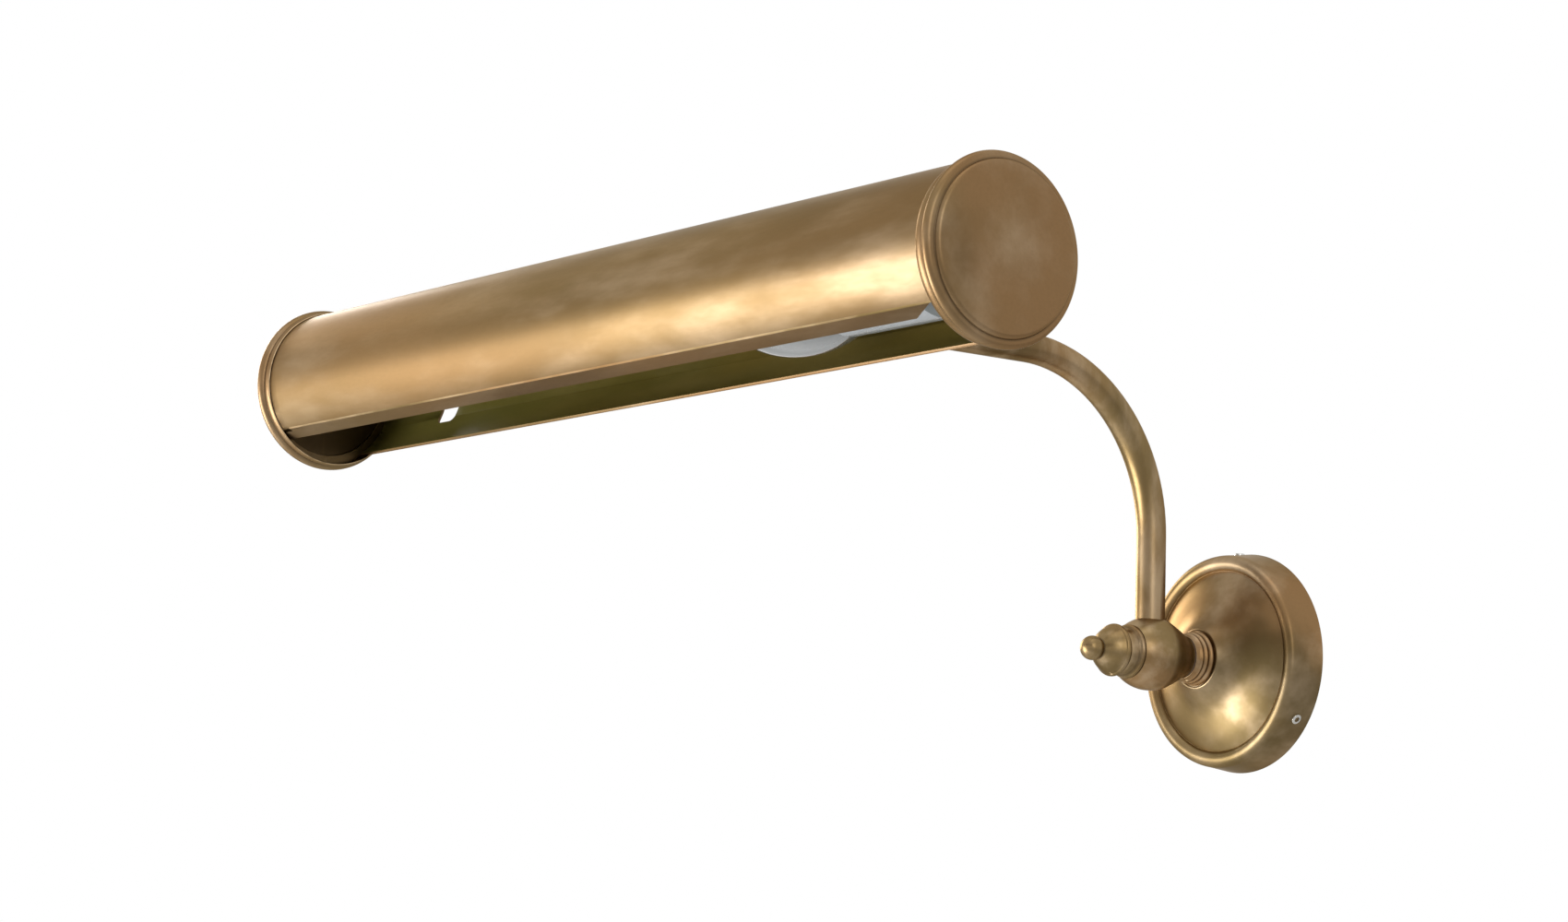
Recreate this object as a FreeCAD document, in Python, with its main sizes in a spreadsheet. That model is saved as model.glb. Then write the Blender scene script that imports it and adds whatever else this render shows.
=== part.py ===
import FreeCAD, Part
import math
import os
import Sketcher

# Wall-mounted picture light in antique brass. The wall is the plane Y = 0, the
# fitting reaches out along -Y, +Z is up and the shade lies along X. Lengths are
# millimetres. "Out" below always means the distance from the wall along -Y.

V = FreeCAD.Vector

SIZES = {
    # rose and wall plate
    "rose_radius": 42.0,
    "rose_front_radius": 40.7,
    "rose_wall": 1.5,
    "rose_shoulder_out": 11.0,
    "rose_bead_inset": 0.7,
    "rose_bead_outer_out": 14.0,
    "rose_crease_inset": 6.2,
    "rose_crease_out": 13.3,
    "rose_mid_radius": 22.7,
    "rose_mid_out": 18.4,
    "rose_crown_radius": 11.7,
    "rose_crown_out": 25.7,
    "plate_thickness": 1.5,
    "plate_rim": 9.5,
    "screw_spacing": 50.0,
    "screw_hole_radius": 2.5,
    "cable_hole_radius": 6.5,
    "cable_hole_height": 22.0,
    "earth_radius": 2.0,
    "grub_out": 6.3,
    "grub_radius": 2.0,
    # spigot and knuckle
    "spigot_radius": 5.0,
    "spigot_bore": 3.6,
    "neck_length": 7.3,
    "neck_foot_radius": 10.4,
    "washer_thickness": 0.5,
    "knuckle_radius": 13.8,
    "knuckle_neck_radius": 8.3,
    "knuckle_face_radius": 10.1,
    "knuckle_back": 15.7,
    "knuckle_front": 10.8,
    "ring_length": 5.6,
    "finial_flange_radius": 9.4,
    "finial_ball_radius": 4.6,
    "finial_length": 17.0,
    # arm
    "arm_radius": 5.6,
    "arm_bore": 4.4,
    "stem_out": 49.6,
    "arm_bend_radius": 64.6,
    "arm_height": 108.8,
    "flex_radius": 1.8,
    "flex_bend": 12.0,
    # swivel
    "pivot_gap": 17.0,
    "swivel_radius": 9.0,
    "swivel_depth": 8.0,
    "swivel_neck_radius": 7.2,
    "pin_radius": 2.0,
    # shade
    "shade_radius": 28.5,
    "shade_wall": 1.0,
    "shade_half_length": 196.0,
    "shade_out": 294.4,
    "shade_height": 92.6,
    "front_edge_angle": 219.5,
    "rear_edge_angle": -56.5,
    "lip_width": 5.8,
    "lip_angle": -30.0,
    "lip_mitre": 12.8,
    "lip_gap": 0.5,
    "slot_width": 11.5,
    "slot_height": 18.0,
    "slot_set_in": 40.6,
    "slot_centre_drop": 5.7,
    "slot_corner": 2.5,
    # end caps
    "cap_overlap": 5.4,
    "cap_wall": 0.35,
    "cap_ring": 3.3,
    "cap_bead": 3.9,
    "cap_disc": 1.6,
    "cap_floor": 2.1,
    # lampholder and lamp
    "holder_radius": 17.6,
    "holder_wall": 1.2,
    "holder_length": 56.0,
    "holder_set_back": 12.6,
    "bulb_radius": 21.2,
    "bulb_half_length": 35.0,
    "bulb_reach": 23.6,
    "lamp_cap_radius": 13.2,
    # clearances
    "fit_gap": 0.06,
    "seat_gap": 0.05,
    "loose_gap": 0.3,
}

doc = FreeCAD.newDocument("picture_light")
sheet = doc.addObject("Spreadsheet::Sheet", "Sizes")
for row, (alias, value) in enumerate(SIZES.items(), start=1):
    sheet.set(f"A{row}", alias)
    sheet.set(f"B{row}", str(value))
    sheet.setAlias(f"B{row}", alias)
doc.recompute()


class Size:
    """A length with its value and the sheet expression that gives that value."""

    def __init__(self, value, text):
        self.value = value
        self.text = text

    def join(self, other, sign, value):
        return Size(value, f"({self.text} {sign} {as_size(other).text})")

    def __add__(self, other):
        return self.join(other, "+", self.value + as_size(other).value)

    def __sub__(self, other):
        return self.join(other, "-", self.value - as_size(other).value)

    def __mul__(self, other):
        return self.join(other, "*", self.value * as_size(other).value)

    def __truediv__(self, other):
        return self.join(other, "/", self.value / as_size(other).value)

    def __radd__(self, other):
        return as_size(other) + self

    def __rsub__(self, other):
        return as_size(other) - self

    def __rmul__(self, other):
        return as_size(other) * self

    def __neg__(self):
        return Size(-self.value, f"(-1 * {self.text})")


def as_size(number):
    """A plain number as a Size; a Size stays as it is."""
    return number if isinstance(number, Size) else Size(float(number), f"{number:.6f}")


def root(size):
    return Size(math.sqrt(size.value), f"sqrt({size.text})")


def cosine(degrees):
    return Size(math.cos(math.radians(degrees.value)), f"cos({degrees.text} * 1 deg)")


def sine(degrees):
    return Size(math.sin(math.radians(degrees.value)), f"sin({degrees.text} * 1 deg)")


class Sheet:
    """The driving sizes by name, as Size objects: at.rose_radius and so on."""

    def __getattr__(self, name):
        return Size(float(sheet.get(name)), f"Sizes.{name}")


at = Sheet()

OUTWARD = FreeCAD.Rotation(V(1, 0, 0), 90)
RIGHT = FreeCAD.Rotation(V(0, 1, 0), 90)
LEFT = FreeCAD.Rotation(V(0, 1, 0), -90)
UPRIGHT = FreeCAD.Rotation()


def place(thing, x=0, y=0, z=0, turn=UPRIGHT):
    """Puts an object at a place bound to the sheet, turned by a fixed rotation."""
    where = [as_size(x), as_size(y), as_size(z)]
    thing.Placement = FreeCAD.Placement(V(*[w.value for w in where]), turn)
    for letter, w in zip("xyz", where):
        thing.setExpression(f".Placement.Base.{letter}", w.text)
    return thing


def plane(body, role):
    """The body's own origin plane or axis with this role."""
    return next(o for o in body.Origin.OriginFeatures if o.Role == role)


def new_sketch(body, role, name):
    sketch = body.newObject("Sketcher::SketchObject", name)
    sketch.AttachmentSupport = [(plane(body, role), "")]
    sketch.MapMode = "FlatFace"
    return sketch


def fix(sketch, kind, where, size):
    """Adds a dimension to a sketch and binds it to the sheet."""
    index = sketch.addConstraint(Sketcher.Constraint(kind, *where, size.value))
    sketch.setExpression(f"Constraints[{index}]", size.text)


def arc_between(p, q, radius):
    """The shorter arc from p to q: it bulges right of the way p to q for a radius over 0."""
    chord = q - p
    rise = math.sqrt(max(radius * radius - chord.Length * chord.Length / 4, 0.0))
    left = V(-chord.y, chord.x, 0).normalize()
    centre = (p + q) * 0.5 + left * (rise if radius > 0 else -rise)
    start = math.atan2(p.y - centre.y, p.x - centre.x)
    end = math.atan2(q.y - centre.y, q.x - centre.x)
    circle = Part.Circle(centre, V(0, 0, 1), abs(radius))
    if radius > 0:
        return Part.ArcOfCircle(circle, start, end), 1, 2
    return Part.ArcOfCircle(circle, end, start), 2, 1


def draw(sketch, points, closed=True):
    """Draws an outline: each point is (x, y), or (x, y, r) for an arc of radius r that leads to it."""
    points = [tuple(as_size(n) for n in p) for p in points]
    spots = [V(p[0].value, p[1].value, 0) for p in points]
    count = len(points)
    ends = []
    for i in range(count if closed else count - 1):
        j = (i + 1) % count
        if len(points[j]) == 3:
            shape, first, last = arc_between(spots[i], spots[j], points[j][2].value)
            edge = sketch.addGeometry(shape, False)
            radius = points[j][2]
            fix(sketch, "Radius", (edge,), radius if radius.value > 0 else -radius)
        else:
            edge = sketch.addGeometry(Part.LineSegment(spots[i], spots[j]), False)
            first, last = 1, 2
        ends.append((edge, first, last))
    for i, (edge, first, last) in enumerate(ends):
        follower = ends[(i + 1) % len(ends)]
        if closed or i + 1 < len(ends):
            sketch.addConstraint(Sketcher.Constraint("Coincident", edge, last, follower[0], follower[1]))
        fix(sketch, "DistanceX", (-1, 1, edge, first), points[i][0])
        fix(sketch, "DistanceY", (-1, 1, edge, first), points[i][1])
    if not closed:
        fix(sketch, "DistanceX", (-1, 1, ends[-1][0], ends[-1][2]), points[-1][0])
        fix(sketch, "DistanceY", (-1, 1, ends[-1][0], ends[-1][2]), points[-1][1])
    return sketch


def ring_sketch(sketch, radii):
    """Concentric circles about the sketch's origin."""
    for radius in radii:
        edge = sketch.addGeometry(Part.Circle(V(), V(0, 0, 1), radius.value), False)
        sketch.addConstraint(Sketcher.Constraint("Coincident", edge, 3, -1, 1))
        fix(sketch, "Radius", (edge,), radius)
    return sketch


def new_body(name):
    body = doc.addObject("PartDesign::Body", name)
    body.Label = name
    return body


def turned(name, outline):
    """A lathe-turned piece: its outline is (radius, distance along its axis)."""
    body = new_body(name)
    sketch = draw(new_sketch(body, "XZ_Plane", name + "_outline"), outline)
    spin = body.newObject("PartDesign::Revolution", name + "_turn")
    spin.Profile = sketch
    spin.ReferenceAxis = (sketch, ["V_Axis"])
    spin.Angle = 360
    body.Tip = spin
    return body


def slab(name, outline, length, role="XY_Plane", middle=False):
    """A plate or bar: an outline padded along the plane's normal."""
    body = new_body(name)
    sketch = draw(new_sketch(body, role, name + "_outline"), outline)
    pad = body.newObject("PartDesign::Pad", name + "_pad")
    pad.Profile = sketch
    length = as_size(length)
    pad.Length = length.value
    pad.setExpression("Length", length.text)
    pad.Midplane = middle
    body.Tip = pad
    return body


def piped(name, route, radii, role="YZ_Plane"):
    """A tube or rod along a route of (x, y) points in a plane, starting upwards at the origin."""
    body = new_body(name)
    path = draw(new_sketch(body, role, name + "_route"), route, closed=False)
    section = ring_sketch(new_sketch(body, "XY_Plane", name + "_section"), radii)
    pipe = body.newObject("PartDesign::AdditivePipe", name + "_pipe")
    pipe.Profile = section
    pipe.Spine = (path, [f"Edge{i + 1}" for i in range(len(route) - 1)])
    body.Tip = pipe
    return body


def rod(name, radius, height, **where):
    """A plain cylinder, used as a pin or as a cutting tool."""
    thing = doc.addObject("Part::Cylinder", name)
    for key, value in (("Radius", as_size(radius)), ("Height", as_size(height))):
        setattr(thing, key, value.value)
        thing.setExpression(key, value.text)
    return place(thing, **where)


def brick(name, length, width, height, **where):
    """A box centred on its place in its own X and Y, standing up from it in Z."""
    thing = doc.addObject("Part::Box", name)
    sides = (("Length", as_size(length)), ("Width", as_size(width)), ("Height", as_size(height)))
    for key, value in sides:
        setattr(thing, key, value.value)
        thing.setExpression(key, value.text)
    x, y = as_size(where.pop("x", 0)), as_size(where.pop("y", 0))
    return place(thing, x=x - sides[0][1] / 2, y=y - sides[1][1] / 2, **where)


def joined(name, pieces):
    thing = doc.addObject("Part::MultiFuse", name)
    thing.Shapes = pieces
    thing.Label = name
    return thing


def cut(name, base, tools):
    """The base with every tool taken away from it."""
    thing = doc.addObject("Part::Cut", name)
    thing.Base = base
    thing.Tool = tools[0] if len(tools) == 1 else joined(name + "_tools", tools)
    thing.Label = name
    return thing


def group(name, pieces):
    """Identical loose fasteners that share one node."""
    thing = doc.addObject("Part::Compound", name)
    thing.Links = pieces
    thing.Label = name
    return thing


def ring_outline(inner, outer, low, high):
    return [(inner, low), (outer, low), (outer, high), (inner, high)]


def hexagon_bar(name, across_flats, length):
    """A six-sided bar along its own Z, for nuts and key sockets."""
    side = across_flats / math.sqrt(3)
    points = [(side * math.cos(math.radians(60 * i)), side * math.sin(math.radians(60 * i))) for i in range(6)]
    return slab(name, points, length)


def nut(name, bore, across_flats, low, height):
    """A hexagon nut along its own Z that starts at a height, for a later placement."""
    blank = place(hexagon_bar(name + "_blank", across_flats, height), z=low)
    return cut(name, blank, [rod(name + "_bore", bore, height + 2, z=low - 1)])


# ---------------------------------------------------------------- wall plate and rose

PLATE_RADIUS = at.rose_front_radius - at.rose_wall - 0.4
EARTH_X = -16.0
EARTH_Z = 20.0


def wall_plate():
    face = at.plate_thickness
    dish = turned("plate_dish", [
        (0, 0),
        (PLATE_RADIUS, 0),
        (PLATE_RADIUS, at.plate_rim),
        (PLATE_RADIUS - at.plate_thickness, at.plate_rim),
        (PLATE_RADIUS - at.plate_thickness, face),
        (0, face),
    ])
    place(dish, turn=OUTWARD)
    deep = face + 2
    tools = [
        rod(f"plate_screw_hole_{side}", at.screw_hole_radius, deep, x=at.screw_spacing / 2 * sign, y=1, turn=OUTWARD)
        for side, sign in (("left", -1), ("right", 1))
    ]
    tools.append(rod("plate_cable_hole", at.cable_hole_radius, deep, y=1, z=at.cable_hole_height, turn=OUTWARD))
    tools.append(rod("plate_earth_hole", at.earth_radius + at.fit_gap, deep, x=EARTH_X, y=1, z=EARTH_Z, turn=OUTWARD))
    return cut("wall_plate", dish, tools)


GRUB_ANGLES = {"top": 86, "right": -34, "left": 206}


def grub_turn(angle):
    """Points local +Z outwards from the rose's axis at this angle in the XZ plane."""
    return FreeCAD.Rotation(V(0, 0, 1), V(math.cos(math.radians(angle)), 0, math.sin(math.radians(angle))))


def rose_cover():
    """The spun cover: a tapered rim, a round bead, a crease and an ogee dome."""
    wall = at.rose_wall
    bead = at.rose_front_radius - at.rose_bead_inset
    crease = at.rose_front_radius - at.rose_crease_inset
    bore = at.spigot_radius + at.fit_gap
    shell = turned("rose_shell", [
        (at.rose_radius, at.loose_gap),
        (at.rose_front_radius, at.rose_shoulder_out),
        (bead, at.rose_bead_outer_out, 6.0),
        (crease, at.rose_crease_out, 3.2),
        (at.rose_mid_radius, at.rose_mid_out, 44.0),
        (at.rose_crown_radius, at.rose_crown_out, -22.0),
        (at.rose_crown_radius - 1.0, at.rose_crown_out, 0.6),
        (bore, at.rose_crown_out),
        (bore, at.rose_crown_out - 2.0),
        (at.rose_crown_radius, at.rose_crown_out - 2.0),
        (at.rose_mid_radius, at.rose_mid_out - wall - 0.6),
        (crease, at.rose_crease_out - wall - 0.4),
        (bead - 2.0, at.rose_bead_outer_out - 2.6),
        (at.rose_front_radius - wall, at.rose_shoulder_out - 0.4),
        (at.rose_radius - wall, at.loose_gap),
    ])
    place(shell, turn=OUTWARD)
    holes = [
        rod(f"grub_hole_{side}", at.grub_radius + 0.05, at.rose_radius + 2, y=-at.grub_out, turn=grub_turn(angle))
        for side, angle in GRUB_ANGLES.items()
    ]
    return cut("rose_cover", shell, holes)


def rose_grub_screws():
    """Three socket screws that hold the cover to the rim of the wall plate."""
    screws = []
    inner = PLATE_RADIUS + at.seat_gap
    taper = (at.rose_radius - at.rose_front_radius) * at.grub_out / at.rose_shoulder_out
    length = at.rose_radius - taper + 0.6 - PLATE_RADIUS
    for side, angle in GRUB_ANGLES.items():
        turn = grub_turn(angle)
        c, s = math.cos(math.radians(angle)), math.sin(math.radians(angle))
        shank = rod(f"grub_{side}_shank", at.grub_radius, length, x=inner * c, y=-at.grub_out, z=inner * s, turn=turn)
        foot = inner + length - 1.4
        key = place(hexagon_bar(f"grub_{side}_key", 2.0, 2.0), x=foot * c, y=-at.grub_out, z=foot * s, turn=turn)
        screws.append(cut(f"grub_{side}", shank, [key]))
    return group("rose_grub_screws", screws)


BLOCK_HEIGHT = -23.0
BLOCK_LENGTH = 24.0
BLOCK_DEPTH = 8.5


def terminal_block():
    """A three-way terminal block on the wall plate, below the spigot."""
    base = at.plate_thickness + at.seat_gap
    block = brick("block_body", BLOCK_LENGTH, BLOCK_DEPTH, 12, y=-(base + BLOCK_DEPTH / 2), z=BLOCK_HEIGHT - 6)
    ways = []
    for i in (-1, 0, 1):
        ways.append(rod(f"block_way_{i + 2}", 1.5, 16, x=7.5 * i, y=-(base + 3.6), z=BLOCK_HEIGHT - 8))
        for side in (-1, 1):
            ways.append(rod(
                f"block_screw_well_{i + 2}_{side + 2}", 1.45, 6,
                x=7.5 * i, y=-(base + 4.4), z=BLOCK_HEIGHT + 3.2 * side, turn=OUTWARD,
            ))
    for i in (-1, 1):
        ways.append(rod(f"block_fixing_hole_{i + 2}", 1.2, 14, x=3.75 * i, y=2, z=BLOCK_HEIGHT, turn=OUTWARD))
    return cut("terminal_block", block, ways)


def slotted_screw(name, radius, length, head_radius, head, x, y, z, turn):
    """A cheese-head screw: local +Z points out of its head, and its place is under the head."""
    shank = [(0, -length), (radius, -length), (radius, 0), (head_radius, 0), (head_radius, head), (0, head)]
    body = place(turned(name + "_body", shank), x=x, y=y, z=z, turn=turn)
    blade = slab(name + "_slot", [(-head_radius - 1, -0.35), (head_radius + 1, -0.35),
                                  (head_radius + 1, 0.35), (-head_radius - 1, 0.35)], 2.0)
    lift = turn.multVec(V(0, 0, head * 0.5))
    place(blade, x=as_size(x) + lift.x, y=as_size(y) + lift.y, z=as_size(z) + lift.z, turn=turn)
    return cut(name, body, [blade])


def terminal_screws():
    top = at.plate_thickness + at.seat_gap + BLOCK_DEPTH
    screws = [
        rod(f"terminal_screw_{i + 2}_{side + 2}", 1.3, 3.6,
            x=7.5 * i, y=-(top - 4.0), z=BLOCK_HEIGHT + 3.2 * side, turn=OUTWARD)
        for i in (-1, 0, 1) for side in (-1, 1)
    ]
    return group("terminal_screws", screws)


def block_fixing_screws():
    top = at.plate_thickness + at.seat_gap + BLOCK_DEPTH
    screws = [
        slotted_screw(f"block_fixing_screw_{i + 2}", 1.1, BLOCK_DEPTH, 1.7, 0.9,
                      3.75 * i, -(top + at.seat_gap), BLOCK_HEIGHT, OUTWARD)
        for i in (-1, 1)
    ]
    return group("block_fixing_screws", screws)


EARTH_TAG_THICKNESS = 0.75


def earth_screw():
    """The earthing screw, clamped on the inside of the wall plate."""
    under = at.plate_thickness + EARTH_TAG_THICKNESS + 2 * at.seat_gap
    return slotted_screw("earth_screw", at.earth_radius, under - 0.1, 3.6, 2.4, EARTH_X, -under, EARTH_Z, OUTWARD)


def earth_tag():
    """A flat ring terminal under the earthing screw."""
    low = at.plate_thickness + at.seat_gap
    thick = EARTH_TAG_THICKNESS
    ring = rod("earth_tag_ring", 3.9, thick, x=EARTH_X, y=-low, z=EARTH_Z, turn=OUTWARD)
    tongue = brick("earth_tag_tongue", 3.0, thick, 9.5, x=EARTH_X, y=-(low + thick / 2), z=EARTH_Z - 9.5)
    hole = rod("earth_tag_hole", at.earth_radius + at.fit_gap, 4, x=EARTH_X, z=EARTH_Z, turn=OUTWARD)
    return cut("earth_tag", joined("earth_tag_blank", [ring, tongue]), [hole])


# ---------------------------------------------------------------- spigot, neck and knuckle

NECK_FOOT = at.rose_crown_out + at.seat_gap
NECK_END = NECK_FOOT + at.neck_length
WASHER_FOOT = NECK_END + at.seat_gap
KNUCKLE_BACK = at.stem_out - at.knuckle_back
KNUCKLE_FACE = at.stem_out + at.knuckle_front
RING_FOOT = KNUCKLE_FACE + at.seat_gap
FINIAL_FOOT = RING_FOOT + at.ring_length + at.seat_gap
SPIGOT_BACK = at.rose_crown_out - 9.0
SPIGOT_END = FINIAL_FOOT + 5.5
RUNNING_BORE = at.spigot_radius + at.fit_gap


def spigot_tube():
    """The threaded tube that carries the arm; a window on top lets the flex out."""
    length = SPIGOT_END - SPIGOT_BACK
    tube = turned("spigot_blank", ring_outline(at.spigot_bore, at.spigot_radius, SPIGOT_BACK, SPIGOT_END))
    place(tube, turn=OUTWARD)
    window_length = at.flex_bend + 6
    window = brick("spigot_window", 6.8, window_length, 8, y=-(at.stem_out - at.flex_bend / 2 + 1), z=0.5)
    return cut("spigot_tube", tube, [window])


def spigot_lock_nut():
    under = at.rose_crown_out - 2.0 - 0.8 - 2 * at.seat_gap
    return place(nut("spigot_lock_nut", RUNNING_BORE, 14.0, under - 3.0, 3.0), turn=OUTWARD)


def spigot_washer():
    top = at.rose_crown_out - 2.0 - at.seat_gap
    return place(turned("spigot_washer", ring_outline(RUNNING_BORE, 9.0, top - 0.8, top)), turn=OUTWARD)


def neck_collar():
    """The turned neck between the rose and the knuckle, with two small beads."""
    foot = at.neck_foot_radius
    return place(turned("neck_collar", [
        (RUNNING_BORE, NECK_FOOT),
        (foot - 0.3, NECK_FOOT),
        (foot - 0.3, NECK_FOOT + 1.6, 1.2),
        (foot - 0.9, NECK_FOOT + 2.1),
        (foot - 1.1, NECK_FOOT + 4.0, 1.25),
        (foot - 1.3, NECK_FOOT + 4.3),
        (foot - 1.5, NECK_FOOT + 5.6, 0.95),
        (at.knuckle_neck_radius, NECK_END, -4.0),
        (RUNNING_BORE, NECK_END),
    ]), turn=OUTWARD)


def knuckle_washer():
    outer = at.knuckle_neck_radius - 0.3
    high = WASHER_FOOT + at.washer_thickness
    return place(turned("knuckle_washer", ring_outline(RUNNING_BORE, outer, WASHER_FOOT, high)), turn=OUTWARD)


def knuckle_body():
    """The hollow ball that the stem rises from; it turns on the spigot."""
    back = KNUCKLE_BACK
    ball = place(turned("knuckle_ball", [
        (RUNNING_BORE, back),
        (at.knuckle_neck_radius, back),
        (at.knuckle_neck_radius + 0.2, back + 1.4, -6.0),
        (at.knuckle_radius - 1.3, at.stem_out - 6.2, 60.0),
        (at.knuckle_radius, at.stem_out - 0.5, 11.0),
        (at.knuckle_face_radius, KNUCKLE_FACE, 17.0),
        (RUNNING_BORE, KNUCKLE_FACE),
        (RUNNING_BORE, KNUCKLE_FACE - 3.0),
        (RUNNING_BORE + 2.4, KNUCKLE_FACE - 5.0),
        (RUNNING_BORE + 2.4, back + 7.0),
        (RUNNING_BORE, back + 5.0),
    ]), turn=OUTWARD)
    socket = rod("knuckle_socket", at.arm_radius + at.fit_gap, 30, y=-at.stem_out, z=5)
    return cut("knuckle_body", ball, [socket])


def clamp_ring():
    """The stepped ring between the knuckle and the finial."""
    face = at.knuckle_face_radius
    return place(turned("clamp_ring", [
        (RUNNING_BORE, RING_FOOT),
        (face - 0.2, RING_FOOT),
        (face - 0.5, RING_FOOT + 1.7, 1.1),
        (face - 1.2, RING_FOOT + 2.4),
        (face - 1.6, RING_FOOT + at.ring_length - 1.0, -6.0),
        (face - 2.0, RING_FOOT + at.ring_length),
        (RUNNING_BORE, RING_FOOT + at.ring_length),
    ]), turn=OUTWARD)


def finial_knob():
    """The turned finial nut: flange, bell and ball."""
    flange = at.finial_flange_radius
    ball = at.finial_ball_radius
    tip = FINIAL_FOOT + at.finial_length
    neck = tip - ball * 1.6
    return place(turned("finial_knob", [
        (RUNNING_BORE, FINIAL_FOOT),
        (flange - 1.0, FINIAL_FOOT),
        (flange - 0.6, FINIAL_FOOT + 0.9),
        (flange, FINIAL_FOOT + 3.2, 1.3),
        (flange - 0.3, FINIAL_FOOT + 3.4),
        (ball - 0.3, neck - 0.5, 13.0),
        (ball * 0.8, neck),
        (0, tip, ball),
        (0, SPIGOT_END + 1.0),
        (RUNNING_BORE, SPIGOT_END + 1.0),
    ]), turn=OUTWARD)


# ---------------------------------------------------------------- arm

BEND_FOOT = at.arm_height - at.arm_bend_radius
PIVOT_REACH = at.shade_radius + at.pivot_gap
SWIVEL_RISE = at.arm_height - at.shade_height
PIVOT_OUT = at.shade_out - root(PIVOT_REACH * PIVOT_REACH - SWIVEL_RISE * SWIVEL_RISE)
ARM_END = PIVOT_OUT - at.swivel_radius - 3.5
STEM_FOOT = at.arm_radius + 3.2


def arm_tube():
    rise = BEND_FOOT - STEM_FOOT
    bend = at.arm_bend_radius
    route = [(0, 0), (0, rise), (-bend, rise + bend, bend), (-(ARM_END - at.stem_out), rise + bend)]
    return place(piped("arm_tube", route, [at.arm_radius, at.arm_bore]), y=-at.stem_out, z=STEM_FOOT)


def rose_flex():
    """The supply flex from the terminal block into the back of the spigot."""
    start = at.plate_thickness + at.seat_gap + 3.6
    foot = BLOCK_HEIGHT + 6 + 0.3
    reach = SPIGOT_BACK - 1.0 - start
    bend = reach - 2.0
    end = KNUCKLE_BACK - 2.0 - start
    route = [(0, 0), (0, -foot - bend), (-bend, -foot, bend), (-end, -foot)]
    return place(piped("rose_flex", route, [at.flex_radius - 0.6]), y=-start, z=foot)


def arm_flex():
    """The flex inside the arm: along the spigot, up through its window and on to the swivel."""
    start = KNUCKLE_BACK - 1.4
    bend = at.flex_bend
    rise = at.arm_height
    route = [
        (0, 0),
        (0, at.stem_out - start - bend),
        (bend, at.stem_out - start, -bend),
        (BEND_FOOT, at.stem_out - start),
        (rise, at.stem_out - start + at.arm_bend_radius, at.arm_bend_radius),
        (rise, ARM_END - start - 0.5),
    ]
    return place(piped("arm_flex", route, [at.flex_radius]), y=-start, turn=OUTWARD)


# ---------------------------------------------------------------- swivel

PIVOT_SPREAD = PIVOT_OUT - at.shade_out
CUP_GAP = at.washer_thickness / 2 + at.seat_gap
CUP_LENGTH = at.swivel_depth - CUP_GAP
CAVITY_RADIUS = at.swivel_radius - 2.6
STUD_START = PIVOT_REACH - at.shade_radius
NECK_START = at.swivel_radius + 0.6
PIN_BORE = at.pin_radius + at.fit_gap


def toward_shade(thing, reach=0):
    """Turns local +Z from the pivot towards the shade's axis, and starts it that far along."""
    rise = SWIVEL_RISE / PIVOT_REACH
    run = -PIVOT_SPREAD / PIVOT_REACH
    angle = 90 + math.degrees(math.asin(rise.value))
    turn = FreeCAD.Rotation(V(1, 0, 0), angle)
    place(thing, y=-(PIVOT_OUT + run * reach), z=at.arm_height - rise * reach, turn=turn)
    thing.setExpression(".Placement.Rotation.Angle", f"90 deg + asin({rise.text})")
    return thing


def swivel_arm_half():
    """The hollow cup on the arm's end; the arm is fixed in its neck."""
    pivot = {"y": -PIVOT_OUT, "z": at.arm_height}
    cup = rod("arm_cup", at.swivel_radius, CUP_LENGTH, x=-at.swivel_depth, turn=RIGHT, **pivot)
    neck_back = PIVOT_OUT - 22.0
    neck_length = PIVOT_OUT - NECK_START - neck_back
    neck = rod("arm_cup_neck", at.swivel_neck_radius, neck_length, y=-neck_back, z=at.arm_height, turn=OUTWARD)
    middle = -(at.swivel_depth + CUP_GAP) / 2
    bridge = brick("arm_cup_bridge", CUP_LENGTH, 14.0, 13.0, x=middle, y=-(PIVOT_OUT - 7), z=at.arm_height - 6.5)
    socket_length = ARM_END + at.seat_gap - neck_back + 1
    tools = [
        rod("arm_cup_socket", at.arm_radius + at.fit_gap, socket_length, y=-(neck_back - 1), z=at.arm_height, turn=OUTWARD),
        rod("arm_cup_cavity", CAVITY_RADIUS, at.swivel_depth, x=2.0 - at.swivel_depth, turn=RIGHT, **pivot),
        rod("arm_cup_way", 2.3, 12.0, x=-3.6, y=-(PIVOT_OUT - 14), z=at.arm_height, turn=OUTWARD),
        rod("arm_cup_pin_hole", PIN_BORE, at.swivel_depth + 2, x=-at.swivel_depth - 1, turn=RIGHT, **pivot),
    ]
    return cut("swivel_arm_half", joined("arm_cup_blank", [cup, neck, bridge]), tools)


def swivel_shade_half():
    """The hollow cup on the shade: neck, saddle and the stud that goes through the shade's wall."""
    flange = cut("saddle", rod("saddle_disc", 10.0, 6.0, z=STUD_START - 2.2), [
        rod("saddle_seat", at.shade_radius + at.seat_gap, 40, x=-20, z=PIVOT_REACH, turn=RIGHT),
    ])
    blank = joined("shade_cup_blank", [
        rod("shade_cup", at.swivel_radius, CUP_LENGTH, x=CUP_GAP, turn=RIGHT),
        rod("shade_cup_neck", at.swivel_neck_radius, STUD_START - 1.0 - NECK_START, z=NECK_START),
        brick("shade_cup_bridge", CUP_LENGTH, 13.0, 13.0, x=(at.swivel_depth + CUP_GAP) / 2),
        flange,
        rod("shade_stud", at.spigot_radius, 8.5, z=STUD_START - 1.5),
    ])
    half = cut("swivel_shade_half", blank, [
        rod("shade_cup_cavity", CAVITY_RADIUS, at.swivel_depth - 2.0, turn=RIGHT),
        rod("shade_stud_bore", at.flex_radius + 0.6, 40),
        rod("shade_cup_pin_hole", PIN_BORE, at.swivel_depth + 2, turn=RIGHT),
    ])
    return toward_shade(half)


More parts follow.
